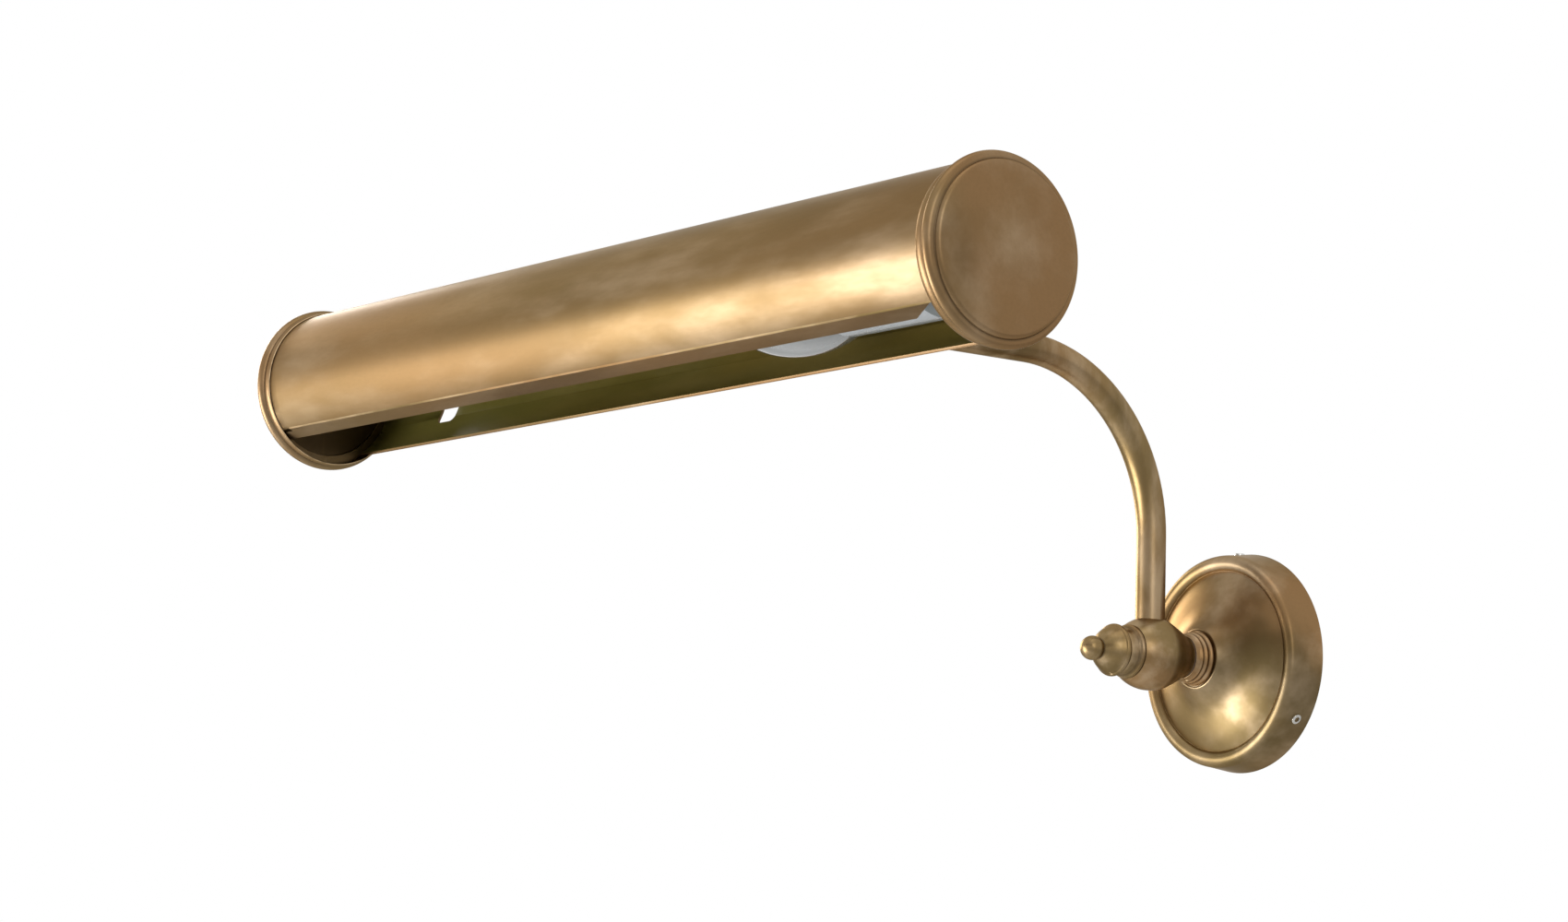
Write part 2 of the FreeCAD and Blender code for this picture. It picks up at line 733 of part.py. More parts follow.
def swivel_washer():
    washer = turned("swivel_washer", ring_outline(CAVITY_RADIUS + 0.2, at.swivel_radius - 0.2, 0, at.washer_thickness))
    return place(washer, x=-at.washer_thickness / 2, y=-PIVOT_OUT, z=at.arm_height, turn=RIGHT)


def swivel_pin():
    """The slotted screw that the two cups turn on."""
    length = 2 * at.swivel_depth + at.seat_gap + 3.0
    return slotted_screw("swivel_pin", at.pin_radius, length, 3.8, 2.2,
                         -(at.swivel_depth + at.seat_gap), -PIVOT_OUT, at.arm_height, LEFT)


def swivel_nut():
    """The domed nut on the swivel's screw; 3, 4 and 5 put its dome's centre on its axis."""
    cap = turned("swivel_nut", [(PIN_BORE, 0), (4, 0), (4, 2.4), (0, 4.4, 5), (0, 3.4), (PIN_BORE, 3.4)])
    return place(cap, x=at.swivel_depth + at.seat_gap, y=-PIVOT_OUT, z=at.arm_height, turn=RIGHT)


def stud_nut():
    """The nut inside the shade that holds the swivel; its corners touch the wall."""
    inside = at.shade_radius - at.shade_wall
    corner = 14.0 / math.sqrt(3)
    face = PIVOT_REACH - root(inside * inside - corner * corner) + at.seat_gap
    return toward_shade(nut("stud_nut", RUNNING_BORE, 14.0, face, 3.0))


# ---------------------------------------------------------------- shade

CAP_MOUTH = at.shade_half_length - at.cap_overlap
CAP_DISC_RADIUS = at.shade_radius - 0.9


def polar(radius, angle):
    return radius * cosine(angle), radius * sine(angle)


def on_shade_axis(thing, x=0, turn=UPRIGHT):
    return place(thing, x=x, y=-at.shade_out, z=at.shade_height, turn=turn)


def shade_tube():
    """The rolled sheet: open below, with a folded lip along its front edge and two vents behind."""
    inner = at.shade_radius - at.shade_wall
    span = (at.front_edge_angle - at.rear_edge_angle) / 3
    angles = [at.rear_edge_angle + span * i for i in range(4)]
    outline = [polar(at.shade_radius, angles[0])]
    outline += [(*polar(at.shade_radius, angle), at.shade_radius) for angle in angles[1:]]
    outline += [polar(inner, angles[3])]
    outline += [(*polar(inner, angle), -inner) for angle in angles[2::-1]]
    sheet_body = slab("shade_sheet", outline, at.shade_half_length * 2, role="YZ_Plane", middle=True)
    on_shade_axis(sheet_body)

    fold_y, fold_z = polar(at.shade_radius, at.front_edge_angle)
    lip = slab("shade_lip", [
        (-at.shade_half_length, 0),
        ((CAP_MOUTH - at.lip_gap), 0),
        ((CAP_MOUTH - at.lip_gap) - at.lip_mitre, at.lip_width),
        (-at.shade_half_length, at.lip_width),
    ], at.shade_wall)
    place(lip, y=fold_y - at.shade_out, z=fold_z + at.shade_height, turn=FreeCAD.Rotation(V(1, 0, 0), -30))
    lip.setExpression(".Placement.Rotation.Angle", "Sizes.lip_angle * 1 deg")

    w, h, c = at.slot_width / 2, at.slot_height / 2, at.slot_corner
    tools = []
    for side, sign in (("left", -1), ("right", 1)):
        slot = slab(f"vent_{side}", [
            (-w + c, -h), (w - c, -h), (w, -h + c, c), (w, h - c),
            (w - c, h, c), (-w + c, h), (-w, h - c, c), (-w, -h + c), (-w + c, -h, c),
        ][1:], at.shade_radius + 5, role="XZ_Plane")
        tools.append(place(slot, x=(CAP_MOUTH - at.slot_set_in) * sign, y=5 + at.shade_radius - at.shade_out,
                           z=at.shade_height - at.slot_centre_drop))
    notch = brick("lip_notch", 4.2, 2.6, 2.6, x=-(CAP_MOUTH - 2.4),
                  y=fold_y - at.shade_out, z=fold_z + at.shade_height - 1.3)
    stud_hole = toward_shade(rod("stud_hole", at.spigot_radius + 0.2, 10), STUD_START - 4)
    return cut("shade_tube", joined("shade_blank", [sheet_body, lip]), tools + [notch, stud_hole])


def end_cap(name, sign, turn):
    """A turned cap that the sheet slides into: small ring, round bead and a raised disc."""
    bore = at.shade_radius + at.fit_gap
    skirt = bore + at.cap_wall
    bead = at.cap_ring + 0.2
    disc = bead + at.cap_bead + 0.1
    top = disc + at.cap_disc
    seat = at.shade_half_length - CAP_MOUTH + at.loose_gap
    cap = turned(name, [
        (bore, 0),
        (skirt, 0),
        (skirt, at.cap_ring, 3.5),
        (skirt, bead),
        (skirt, bead + at.cap_bead, 2.0),
        (CAP_DISC_RADIUS, disc),
        (CAP_DISC_RADIUS - 1.5, top, 1.7),
        (0, top + 0.3),
        (0, top - at.cap_floor),
        (CAP_DISC_RADIUS - 2.7, top - at.cap_floor),
        (CAP_DISC_RADIUS - 2.7, seat),
        (bore, seat),
    ])
    return on_shade_axis(cap, x=CAP_MOUTH * sign, turn=turn)


# ---------------------------------------------------------------- lampholder and lamp

HOLDER_BACK = CAP_MOUTH - at.holder_set_back
HOLDER_MOUTH = HOLDER_BACK - at.holder_length
BULB_CENTRE = HOLDER_MOUTH - at.bulb_reach
HOLDER_BORE = at.holder_radius - at.holder_wall
CORE_FACE = HOLDER_BACK - 19.0
RING_FACE = HOLDER_BACK + 1.0
DOME_FACE = RING_FACE + 3.2 + at.seat_gap
DOME_BACK = DOME_FACE + 6.3
BRACKET_FACE = DOME_BACK + at.seat_gap
BRACKET_THICKNESS = 1.5
CAP_END = CORE_FACE - 1.1


def lampholder_shell():
    """The smooth sleeve round the lamp's cap."""
    back = HOLDER_BACK
    return on_shade_axis(turned("lampholder_shell", [
        (HOLDER_BORE, HOLDER_MOUTH),
        (at.holder_radius - 0.4, HOLDER_MOUTH),
        (at.holder_radius, HOLDER_MOUTH + 0.4, 0.5),
        (at.holder_radius, back),
        (14.5, back),
        (14.5, back - 1.2),
        (HOLDER_BORE, back - 1.2),
    ]), turn=RIGHT)


def lampholder_core():
    core = HOLDER_BORE - at.fit_gap
    return on_shade_axis(turned("lampholder_core", [
        (0, CORE_FACE),
        (core, CORE_FACE),
        (core, HOLDER_BACK - 1.25),
        (14.4, HOLDER_BACK - 1.25),
        (14.4, RING_FACE - at.seat_gap),
        (0, RING_FACE - at.seat_gap),
    ]), turn=RIGHT)


def lampholder_liner():
    """The thin screw shell that the lamp's cap turns into."""
    inner = at.lamp_cap_radius + at.fit_gap
    low = HOLDER_MOUTH + 12
    return on_shade_axis(turned("lampholder_liner", ring_outline(inner, inner + 0.5, low, CORE_FACE - at.seat_gap)), turn=RIGHT)


def lampholder_contact():
    top = CORE_FACE - at.seat_gap
    return on_shade_axis(turned("lampholder_contact", [(0, top - 0.9), (3.0, top - 0.9), (3.0, top), (0, top)]), turn=RIGHT)


def lampholder_ring():
    return on_shade_axis(turned("lampholder_ring", [
        (10.0, RING_FACE),
        (at.holder_radius + 0.2, RING_FACE),
        (at.holder_radius + 0.2, RING_FACE + 3.2, 4.0),
        (10.0, RING_FACE + 3.2),
    ]), turn=RIGHT)


def lampholder_dome():
    """The moulded back of the lampholder, with the threaded entry in its middle."""
    entry = RUNNING_BORE
    return on_shade_axis(turned("lampholder_dome", [
        (entry, DOME_FACE),
        (16.8, DOME_FACE),
        (16.8, DOME_FACE + 3.0),
        (13.0, DOME_BACK, 4.6),
        (entry, DOME_BACK),
    ]), turn=RIGHT)


def holder_nipple():
    """The threaded tube that clamps the lampholder to its bracket."""
    end = BRACKET_FACE + BRACKET_THICKNESS + 4.0
    return on_shade_axis(turned("holder_nipple", ring_outline(at.spigot_bore, at.spigot_radius, DOME_FACE + 0.4, end)), turn=RIGHT)


def holder_nut():
    low = BRACKET_FACE + BRACKET_THICKNESS + at.seat_gap
    return on_shade_axis(nut("holder_nut", RUNNING_BORE, 14.0, low, 3.0), turn=RIGHT)


def lampholder_bracket():
    """The folded steel bracket under the top of the shade."""
    half = 8.0
    inside = at.shade_radius - at.shade_wall - 0.3
    top = root(inside * inside - half * half)
    drop = 12.0
    plate = brick("bracket_plate", BRACKET_THICKNESS, 2 * half, top + drop,
                  x=BRACKET_FACE + BRACKET_THICKNESS / 2, y=-at.shade_out, z=at.shade_height - drop)
    length = 26.0
    tab = brick("bracket_tab", length, 2 * half, BRACKET_THICKNESS,
                x=BRACKET_FACE + BRACKET_THICKNESS - length / 2, y=-at.shade_out,
                z=at.shade_height + top - BRACKET_THICKNESS)
    hole = on_shade_axis(rod("bracket_hole", RUNNING_BORE, 6), x=BRACKET_FACE - 2, turn=RIGHT)
    return cut("lampholder_bracket", joined("bracket_blank", [plate, tab]), [hole])


def globe_solid(name, inset):
    """The globe and its neck, an inset inside the outer skin."""
    ball = doc.addObject("Part::Ellipsoid", name + "_ball")
    ball.setExpression("Radius1", (at.bulb_half_length - inset).text)
    ball.setExpression("Radius2", (at.bulb_radius - inset).text)
    ball.setExpression("Radius3", (at.bulb_radius - inset).text)
    on_shade_axis(ball, x=BULB_CENTRE, turn=RIGHT)
    neck = rod(name + "_neck", at.lamp_cap_radius - 0.4 - inset, HOLDER_MOUTH + 9.0 - BULB_CENTRE + inset)
    on_shade_axis(neck, x=BULB_CENTRE, turn=RIGHT)
    return joined(name, [ball, neck])


def lamp_globe():
    """The glass: a hollow long globe, open at the back of its neck."""
    behind = on_shade_axis(rod("globe_behind", at.bulb_radius, 20), x=HOLDER_MOUTH + 9.0, turn=RIGHT)
    return cut("lamp_globe", globe_solid("globe_skin", as_size(0)), [globe_solid("globe_hollow", as_size(1.0)), behind])


def lamp_cap():
    """The lamp's screw cap: thin wall, thick end."""
    r = at.lamp_cap_radius
    mouth = HOLDER_MOUTH + 9.0 + at.seat_gap
    return on_shade_axis(turned("lamp_cap", [
        (r - 0.9, mouth),
        (r - 0.4, mouth),
        (r, mouth + 1.0),
        (r, CAP_END - 6.0),
        (5.0, CAP_END - 1.2),
        (4.0, CAP_END),
        (0, CAP_END),
        (0, CAP_END - 3.0),
        (r - 0.9, CAP_END - 7.0),
    ]), turn=RIGHT)


def shade_flex():
    """The flex inside the shade: out of the stud, along the roof and into the lampholder's back."""
    start = STUD_START + 1.5
    bend = 6.0
    depth = PIVOT_REACH - 9.5 - start
    roof = PIVOT_REACH - (at.bulb_radius + at.flex_radius + 0.9) - start
    sway = depth - roof
    jog = 26.0
    end = HOLDER_BACK + 7.4
    entry = PIVOT_REACH - 17.1 - start
    route = [
        (0, 0),
        (0, depth - bend),
        (bend, depth, -bend),
        (jog, depth),
        (jog + sway * math.sin(math.radians(60)), depth - sway / 2, -sway),
        (jog + 2 * sway * math.sin(math.radians(60)), roof, sway),
        (end - 5.0, roof),
        (end, roof + 5.0, 5.0),
        (end, entry),
    ]
    return toward_shade(piped("shade_flex", route, [at.flex_radius], role="XZ_Plane"), start)


PARTS = {}


def keep(*pieces):
    for piece in pieces:
        PARTS[piece.Label] = piece


keep(
    wall_plate(), rose_cover(), rose_grub_screws(), terminal_block(), terminal_screws(),
    block_fixing_screws(), earth_screw(), earth_tag(), spigot_tube(), spigot_lock_nut(),
    spigot_washer(), neck_collar(), knuckle_washer(), knuckle_body(), clamp_ring(),
    finial_knob(), arm_tube(), rose_flex(), arm_flex(),
    swivel_arm_half(), swivel_shade_half(), swivel_washer(), swivel_pin(), swivel_nut(), stud_nut(),
    shade_tube(), end_cap("right_end_cap", 1, RIGHT), end_cap("left_end_cap", -1, LEFT),
    lampholder_shell(), lampholder_core(), lampholder_liner(), lampholder_contact(), lampholder_ring(),
    lampholder_dome(), holder_nipple(), holder_nut(), lampholder_bracket(), lamp_globe(), lamp_cap(),
    shade_flex(),
)

doc.recompute()
bad = [o.Label for o in doc.Objects if "Invalid" in o.State or "Error" in o.State]
for label, piece in PARTS.items():
    shape = piece.Shape
    print(label, shape.isValid(), len(shape.Solids), round(shape.Volume, 1))
    if shape.isNull() or not shape.isValid():
        bad.append(label)
if bad:
    raise SystemExit("failed: " + ", ".join(bad))
os.makedirs("parts", exist_ok=True)
for label, piece in PARTS.items():
    piece.Shape.exportStep(f"parts/{label}.step")
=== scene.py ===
import itertools
import math

import bmesh
import bpy
from mathutils import Matrix, Vector


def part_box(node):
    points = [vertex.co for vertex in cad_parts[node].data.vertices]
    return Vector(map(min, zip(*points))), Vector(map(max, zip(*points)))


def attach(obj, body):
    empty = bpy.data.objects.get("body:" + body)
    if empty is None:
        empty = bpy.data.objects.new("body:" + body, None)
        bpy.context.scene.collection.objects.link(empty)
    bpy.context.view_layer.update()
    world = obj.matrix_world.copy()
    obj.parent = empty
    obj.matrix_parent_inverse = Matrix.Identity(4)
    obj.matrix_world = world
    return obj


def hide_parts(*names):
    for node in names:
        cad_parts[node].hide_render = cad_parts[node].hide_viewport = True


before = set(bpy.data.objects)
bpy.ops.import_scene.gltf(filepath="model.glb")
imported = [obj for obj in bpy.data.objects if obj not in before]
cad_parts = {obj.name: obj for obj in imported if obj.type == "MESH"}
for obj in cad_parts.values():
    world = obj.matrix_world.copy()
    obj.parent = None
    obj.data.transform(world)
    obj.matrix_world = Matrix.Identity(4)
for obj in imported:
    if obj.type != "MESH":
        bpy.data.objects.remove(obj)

bl_info = {
    "name": "Wall picture light",
    "version": (1, 0, 0),
    "blender": (4, 5, 0),
    "location": "View3D > Sidebar > Picture Light",
    "description": "Models the finished pieces of a wall picture light on its fixed frame",
    "category": "Object",
}

MM = 0.001
ARC_STEP = math.radians(7)
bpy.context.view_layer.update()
SHADE_Y = (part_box("right_end_cap")[0].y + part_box("right_end_cap")[1].y) / 2
SHADE_Z = (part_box("right_end_cap")[0].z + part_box("right_end_cap")[1].z) / 2
SHEET_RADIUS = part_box("shade_tube")[1].z - SHADE_Z
SHADE_LOW, SHADE_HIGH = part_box("left_end_cap")[0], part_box("right_end_cap")[1]
SHEET_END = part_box("shade_tube")[1].x

# The sheet's section and cuts, repeated from the construction because the frame doesn't hold them.
REAR_EDGE, FRONT_EDGE = math.radians(-56.5), math.radians(219.5)
SHEET_STEPS = 132
LIP_TURN = math.radians(-30)
LIP_LEAN = Vector((0, math.cos(LIP_TURN), math.sin(LIP_TURN)))
LIP_FACING = Vector((0, -math.sin(LIP_TURN), math.cos(LIP_TURN)))
LIP_ROW = 1.7 * MM              # an edge along the lip that the notch and mitre need
CREASE_END = 190.1 * MM         # right end of the lip, at the fold
MITRE_CUT = 177.3 * MM
MITRE_TIP = MITRE_CUT + 0.4 * MM
MITRE_ROW = CREASE_END - 3.7 * MM
NOTCH_START = -186.0 * MM
NOTCH_DEPTH = 1.6 * MM
VENT_MIDDLES = (-150 * MM, 150 * MM)
VENT_DROP = -5.7 * MM
VENT_HALF = Vector((5.75 * MM, 0, 9.0 * MM))
VENT_CORNER_CUTS = (15, 35, 55, 75)
BEHIND = SHADE_Y + 15 * MM
SAME_PLACE = 1e-6
SHEET, LIP, CREASE_HIGHLIGHT, INSIDE = range(4)    # material slots of the sheet: the lip's slot is painted darker as shade, the fold's slot is a painted highlight, the inside's slot a darker painted-shade copy


# ---------------------------------------------------------------- sizes and colours a user can change

class PictureLightSizes(bpy.types.PropertyGroup):
    """Sizes of the modelled detail."""
    turns: bpy.props.IntProperty(
        name="Turned segments", description="Segments round each turned piece", default=144, min=24, max=256)
    edge_round: bpy.props.FloatProperty(
        name="Edge round", description="Rounding of turned edges", default=0.35 * MM, min=0.0,
        subtype="DISTANCE", unit="LENGTH", precision=5)
    sheet: bpy.props.FloatProperty(
        name="Sheet thickness", description="Thickness of the shade's sheet", default=1.0 * MM, min=0.0002,
        subtype="DISTANCE", unit="LENGTH", precision=5)
    lip: bpy.props.FloatProperty(
        name="Lip width", description="Width of the folded lip", default=5.8 * MM, min=0.001,
        subtype="DISTANCE", unit="LENGTH", precision=5)
    vent_round: bpy.props.FloatProperty(
        name="Vent corner", description="Corner radius of the two vents", default=2.5 * MM, min=0.0001,
        subtype="DISTANCE", unit="LENGTH", precision=5)
    crease: bpy.props.FloatProperty(
        name="Crease round", description="Rounding of the fold above the lip", default=0.4 * MM, min=0.0,
        subtype="DISTANCE", unit="LENGTH", precision=5)


class PictureLightColours(bpy.types.PropertyGroup):
    """Colours of the finishes."""
    brass_dark: bpy.props.FloatVectorProperty(
        name="Patina, dark", description="Dark olive brown of the patina", default=(0.115, 0.074, 0.026),
        subtype="COLOR", size=3, min=0.0, max=1.0)
    brass_mid: bpy.props.FloatVectorProperty(
        name="Patina, middle", description="Main brown of the patina", default=(0.222, 0.142, 0.058),
        subtype="COLOR", size=3, min=0.0, max=1.0)
    brass_light: bpy.props.FloatVectorProperty(
        name="Patina, light", description="Rubbed tan of the patina", default=(0.470, 0.350, 0.220),
        subtype="COLOR", size=3, min=0.0, max=1.0)
    steel: bpy.props.FloatVectorProperty(
        name="Zinc plate", description="Plated steel", default=(0.50, 0.51, 0.52),
        subtype="COLOR", size=3, min=0.0, max=1.0)
    glass: bpy.props.FloatVectorProperty(
        name="Lamp", description="Lamp glass and sleeve", default=(0.125, 0.132, 0.130),
        subtype="COLOR", size=3, min=0.0, max=1.0)


def sizes():
    return bpy.context.scene.picture_light_sizes


def colours():
    return bpy.context.scene.picture_light_colours


# ---------------------------------------------------------------- mesh helpers

ALONG_X = Matrix.Translation((0, SHADE_Y, SHADE_Z)) @ Matrix.Rotation(math.radians(90), 4, "Y")
ALONG_X_BACK = Matrix.Translation((0, SHADE_Y, SHADE_Z)) @ Matrix.Rotation(math.radians(-90), 4, "Y")
OUT_OF_WALL = Matrix.Rotation(math.radians(90), 4, "X")


def finished(bm, name, body, material, replaces=(), sharp=38):
    """Turns a bmesh into a smooth-shaded object that rides on a body and stands for CAD nodes."""
    mesh = bpy.data.meshes.new(name)
    for face in bm.faces:
        face.smooth = True
    bm.to_mesh(mesh)
    bm.free()
    mesh.set_sharp_from_angle(angle=math.radians(sharp))
    piece = bpy.data.objects.new(name, mesh)
    bpy.context.scene.collection.objects.link(piece)
    mesh.materials.append(material)
    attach(piece, body)
    if replaces:
        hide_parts(*replaces)
    return piece


def outline(bm, points, closed):
    """Draws a wire in the XZ plane: (radius, height), or (radius, height, r) for an arc of radius r leading there."""
    first = last = bm.verts.new((points[0][0] * MM, 0, points[0][1] * MM))
    for point in points[1:]:
        goal = Vector((point[0] * MM, 0, point[1] * MM))
        if len(point) > 2:
            chord = goal - last.co
            radius = point[2] * MM
            left = Vector((-chord.z, 0, chord.x)).normalized()
            rise = math.sqrt(max(radius ** 2 - chord.length_squared / 4, 0.0))
            centre = (goal + last.co) / 2 + left * math.copysign(rise, radius)
            sweep = 2 * math.asin(min(chord.length / 2 / abs(radius), 1.0))
            made = bmesh.ops.spin(bm, geom=[last], cent=centre, axis=(0, -1, 0), angle=math.copysign(sweep, radius),
                                  steps=max(4, math.ceil(sweep / ARC_STEP)), use_merge=False, use_duplicate=False)
            last = [v for v in made["geom_last"] if isinstance(v, bmesh.types.BMVert)][0]
            last.co = goal
        else:
            corner = bm.verts.new(goal)
            bm.edges.new((last, corner))
            last = corner
    if closed:
        bm.edges.new((last, first))


def turned(points, place, closed=True):
    """A turned solid from an outline in millimetres, its heights along local Z."""
    bm = bmesh.new()
    outline(bm, points, closed)
    bmesh.ops.spin(bm, geom=bm.verts[:] + bm.edges[:], cent=(0, 0, 0), axis=(0, 0, 1), angle=math.tau,
                   steps=sizes().turns, use_merge=True, use_duplicate=False)
    bmesh.ops.remove_doubles(bm, verts=bm.verts, dist=1e-6)
    bmesh.ops.transform(bm, matrix=place, verts=bm.verts)
    bmesh.ops.recalc_face_normals(bm, faces=bm.faces)
    return bm


def soften_edges(piece, width):
    """Rounds the sharp edges of a finished piece."""
    edge = piece.modifiers.new("Edges", "BEVEL")
    edge.width = width
    edge.segments = 2
    edge.limit_method = "ANGLE"
    edge.angle_limit = math.radians(28)


# ---------------------------------------------------------------- shader helpers

def group_tree(name, inputs, outputs):
    """A new shader node group with named sockets, or None if it is already built."""
    if name in bpy.data.node_groups:
        return None
    tree = bpy.data.node_groups.new(name, "ShaderNodeTree")
    for label, kind, value in inputs:
        socket = tree.interface.new_socket(label, in_out="INPUT", socket_type=kind)
        socket.default_value = value
    for label, kind in outputs:
        tree.interface.new_socket(label, in_out="OUTPUT", socket_type=kind)
    return tree


def add(tree, kind, **settings):
    node = tree.nodes.new(kind)
    for key, value in settings.items():
        if key in node.inputs.keys():
            node.inputs[key].default_value = value
        else:
            setattr(node, key, value)
    return node


def math_node(tree, operation, a, b):
    node = tree.nodes.new("ShaderNodeMath")
    node.operation = operation
    for socket, value in zip(node.inputs, (a, b)):
        if isinstance(value, (int, float)):
            socket.default_value = value
        else:
            tree.links.new(value, socket)
    return node.outputs[0]


def mix_colour(tree, factor, a, b, blend="MIX"):
    node = tree.nodes.new("ShaderNodeMix")
    node.data_type = "RGBA"
    node.blend_type = blend
    for socket, value in ((node.inputs[0], factor), (node.inputs[6], a), (node.inputs[7], b)):
        if isinstance(value, bpy.types.NodeSocket):
            tree.links.new(value, socket)
        else:
            socket.default_value = value
    return node.outputs[2]


def ramp(tree, source, low, high):
    node = tree.nodes.new("ShaderNodeMapRange")
    node.interpolation_type = "SMOOTHSTEP"
    node.inputs["From Min"].default_value = low
    node.inputs["From Max"].default_value = high
    tree.links.new(source, node.inputs["Value"])
    return node.outputs["Result"]


def patina_group():
    """Cloudy antique patina: soft blotches, long rubbed streaks and fine mottling."""
    tree = group_tree("Patina", [
        ("Vector", "NodeSocketVector", (0, 0, 0)),
        ("Dark", "NodeSocketColor", (0.1, 0.07, 0.03, 1)),
        ("Middle", "NodeSocketColor", (0.27, 0.17, 0.08, 1)),
        ("Light", "NodeSocketColor", (0.42, 0.28, 0.16, 1)),
        ("Scale", "NodeSocketFloat", 14.0),
        ("Streak Scale", "NodeSocketFloat", 60.0),
    ], [("Colour", "NodeSocketColor"), ("Roughness", "NodeSocketFloat"), ("Height", "NodeSocketFloat")])
    if tree is None:
        return bpy.data.node_groups["Patina"]
    link = tree.links.new
    source = tree.nodes.new("NodeGroupInput")
    result = tree.nodes.new("NodeGroupOutput")
    cloud = add(tree, "ShaderNodeTexNoise", Detail=3.0, Roughness=0.5, Distortion=0.35)
    streak = add(tree, "ShaderNodeTexNoise", Detail=4.0, Roughness=0.55, Distortion=0.1)
    fine = add(tree, "ShaderNodeTexNoise", Scale=900.0, Detail=3.0, Roughness=0.6)
    for node, scale in ((cloud, "Scale"), (streak, "Streak Scale")):
        link(source.outputs["Vector"], node.inputs["Vector"])
        link(source.outputs[scale], node.inputs["Scale"])
    link(source.outputs["Vector"], fine.inputs["Vector"])
    low = ramp(tree, cloud.outputs["Fac"], 0.34, 0.60)
    high = ramp(tree, streak.outputs["Fac"], 0.40, 0.78)
    base = mix_colour(tree, low, source.outputs["Dark"], source.outputs["Middle"])
    drift = add(tree, "ShaderNodeTexNoise", Detail=2.0, Roughness=0.45)
    link(source.outputs["Vector"], drift.inputs["Vector"])
    link(math_node(tree, "MULTIPLY", source.outputs["Scale"], 0.7), drift.inputs["Scale"])
    hue = mix_colour(tree, ramp(tree, drift.outputs["Fac"], 0.38, 0.62), (0.96, 1.0, 0.94, 1), (1.10, 0.96, 0.92, 1))
    toned = mix_colour(tree, 1.0, base, hue, blend="MULTIPLY")
    rubbed_and_highlight = mix_colour(tree, math_node(tree, "MULTIPLY", high, 0.55), toned, source.outputs["Light"])
    grain = math_node(tree, "MULTIPLY", ramp(tree, fine.outputs["Fac"], 0.35, 0.75), 0.10)
    speckled = mix_colour(tree, grain, rubbed_and_highlight, source.outputs["Dark"])
    link(speckled, result.inputs["Colour"])
    rough = math_node(tree, "ADD", math_node(tree, "MULTIPLY", cloud.outputs["Fac"], -0.14),
                      math_node(tree, "MULTIPLY", fine.outputs["Fac"], 0.08))
    link(rough, result.inputs["Roughness"])
    link(math_node(tree, "ADD", math_node(tree, "MULTIPLY", streak.outputs["Fac"], 0.6),
                   math_node(tree, "MULTIPLY", fine.outputs["Fac"], 0.25)), result.inputs["Height"])
    return tree


def wear_and_shade_group():
    """Edges rubbed brighter, broken up by noise; hollows painted darker as shade."""
    tree = group_tree("Edge Wear and Crevice Shade", [
        ("Vector", "NodeSocketVector", (0, 0, 0)),
        ("Amount", "NodeSocketFloat", 0.5),
    ], [("Mask", "NodeSocketFloat"), ("Painted Crevice Shade", "NodeSocketFloat")])
    if tree is None:
        return bpy.data.node_groups["Edge Wear and Crevice Shade"]
    source = tree.nodes.new("NodeGroupInput")
    result = tree.nodes.new("NodeGroupOutput")
    geometry = tree.nodes.new("ShaderNodeNewGeometry")
    noise = add(tree, "ShaderNodeTexNoise", Scale=220.0, Detail=2.0)
    tree.links.new(source.outputs["Vector"], noise.inputs["Vector"])
    edge = ramp(tree, geometry.outputs["Pointiness"], 0.510, 0.57)
    broken = math_node(tree, "MULTIPLY", edge, ramp(tree, noise.outputs["Fac"], 0.25, 0.6))
    tree.links.new(math_node(tree, "MULTIPLY", broken, source.outputs["Amount"]), result.inputs["Mask"])
    # Painted shade: hollows, found by low pointiness, are darkened.
    crevice_shade = ramp(tree, math_node(tree, "SUBTRACT", 1.0, geometry.outputs["Pointiness"]), 0.502, 0.535)
    tree.links.new(math_node(tree, "MULTIPLY", crevice_shade, source.outputs["Amount"]), result.inputs["Painted Crevice Shade"])
    return tree


def grime_group():
    """Fine uneven soiling for plastics and plated steel."""
    tree = group_tree("Fine Soiling", [
        ("Vector", "NodeSocketVector", (0, 0, 0)),
        ("Colour", "NodeSocketColor", (0.5, 0.5, 0.5, 1)),
        ("Depth", "NodeSocketFloat", 0.15),
        ("Scale", "NodeSocketFloat", 90.0),
    ], [("Colour", "NodeSocketColor"), ("Roughness", "NodeSocketFloat"), ("Height", "NodeSocketFloat")])
    if tree is None:
        return bpy.data.node_groups["Fine Soiling"]
    source = tree.nodes.new("NodeGroupInput")
    result = tree.nodes.new("NodeGroupOutput")
    cloud = add(tree, "ShaderNodeTexNoise", Detail=4.0, Roughness=0.6)
    fine = add(tree, "ShaderNodeTexNoise", Scale=1400.0, Detail=2.0)
    tree.links.new(source.outputs["Vector"], cloud.inputs["Vector"])
    tree.links.new(source.outputs["Vector"], fine.inputs["Vector"])
    tree.links.new(source.outputs["Scale"], cloud.inputs["Scale"])
    spread = math_node(tree, "MULTIPLY", ramp(tree, cloud.outputs["Fac"], 0.35, 0.7), source.outputs["Depth"])
    darker = mix_colour(tree, 1.0, source.outputs["Colour"], (0.55, 0.52, 0.46, 1), blend="MULTIPLY")
    tree.links.new(mix_colour(tree, spread, source.outputs["Colour"], darker), result.inputs["Colour"])
    tree.links.new(math_node(tree, "MULTIPLY", cloud.outputs["Fac"], 0.12), result.inputs["Roughness"])
    tree.links.new(fine.outputs["Fac"], result.inputs["Height"])
    return tree


def new_material(name):
    material = bpy.data.materials.new(name)
    material.use_nodes = True
    tree = material.node_tree
    shader = tree.nodes["Principled BSDF"]
    coordinates = tree.nodes.new("ShaderNodeTexCoord")
    mapping = tree.nodes.new("ShaderNodeMapping")
    tree.links.new(coordinates.outputs["Object"], mapping.inputs["Vector"])
    return material, tree, shader, mapping


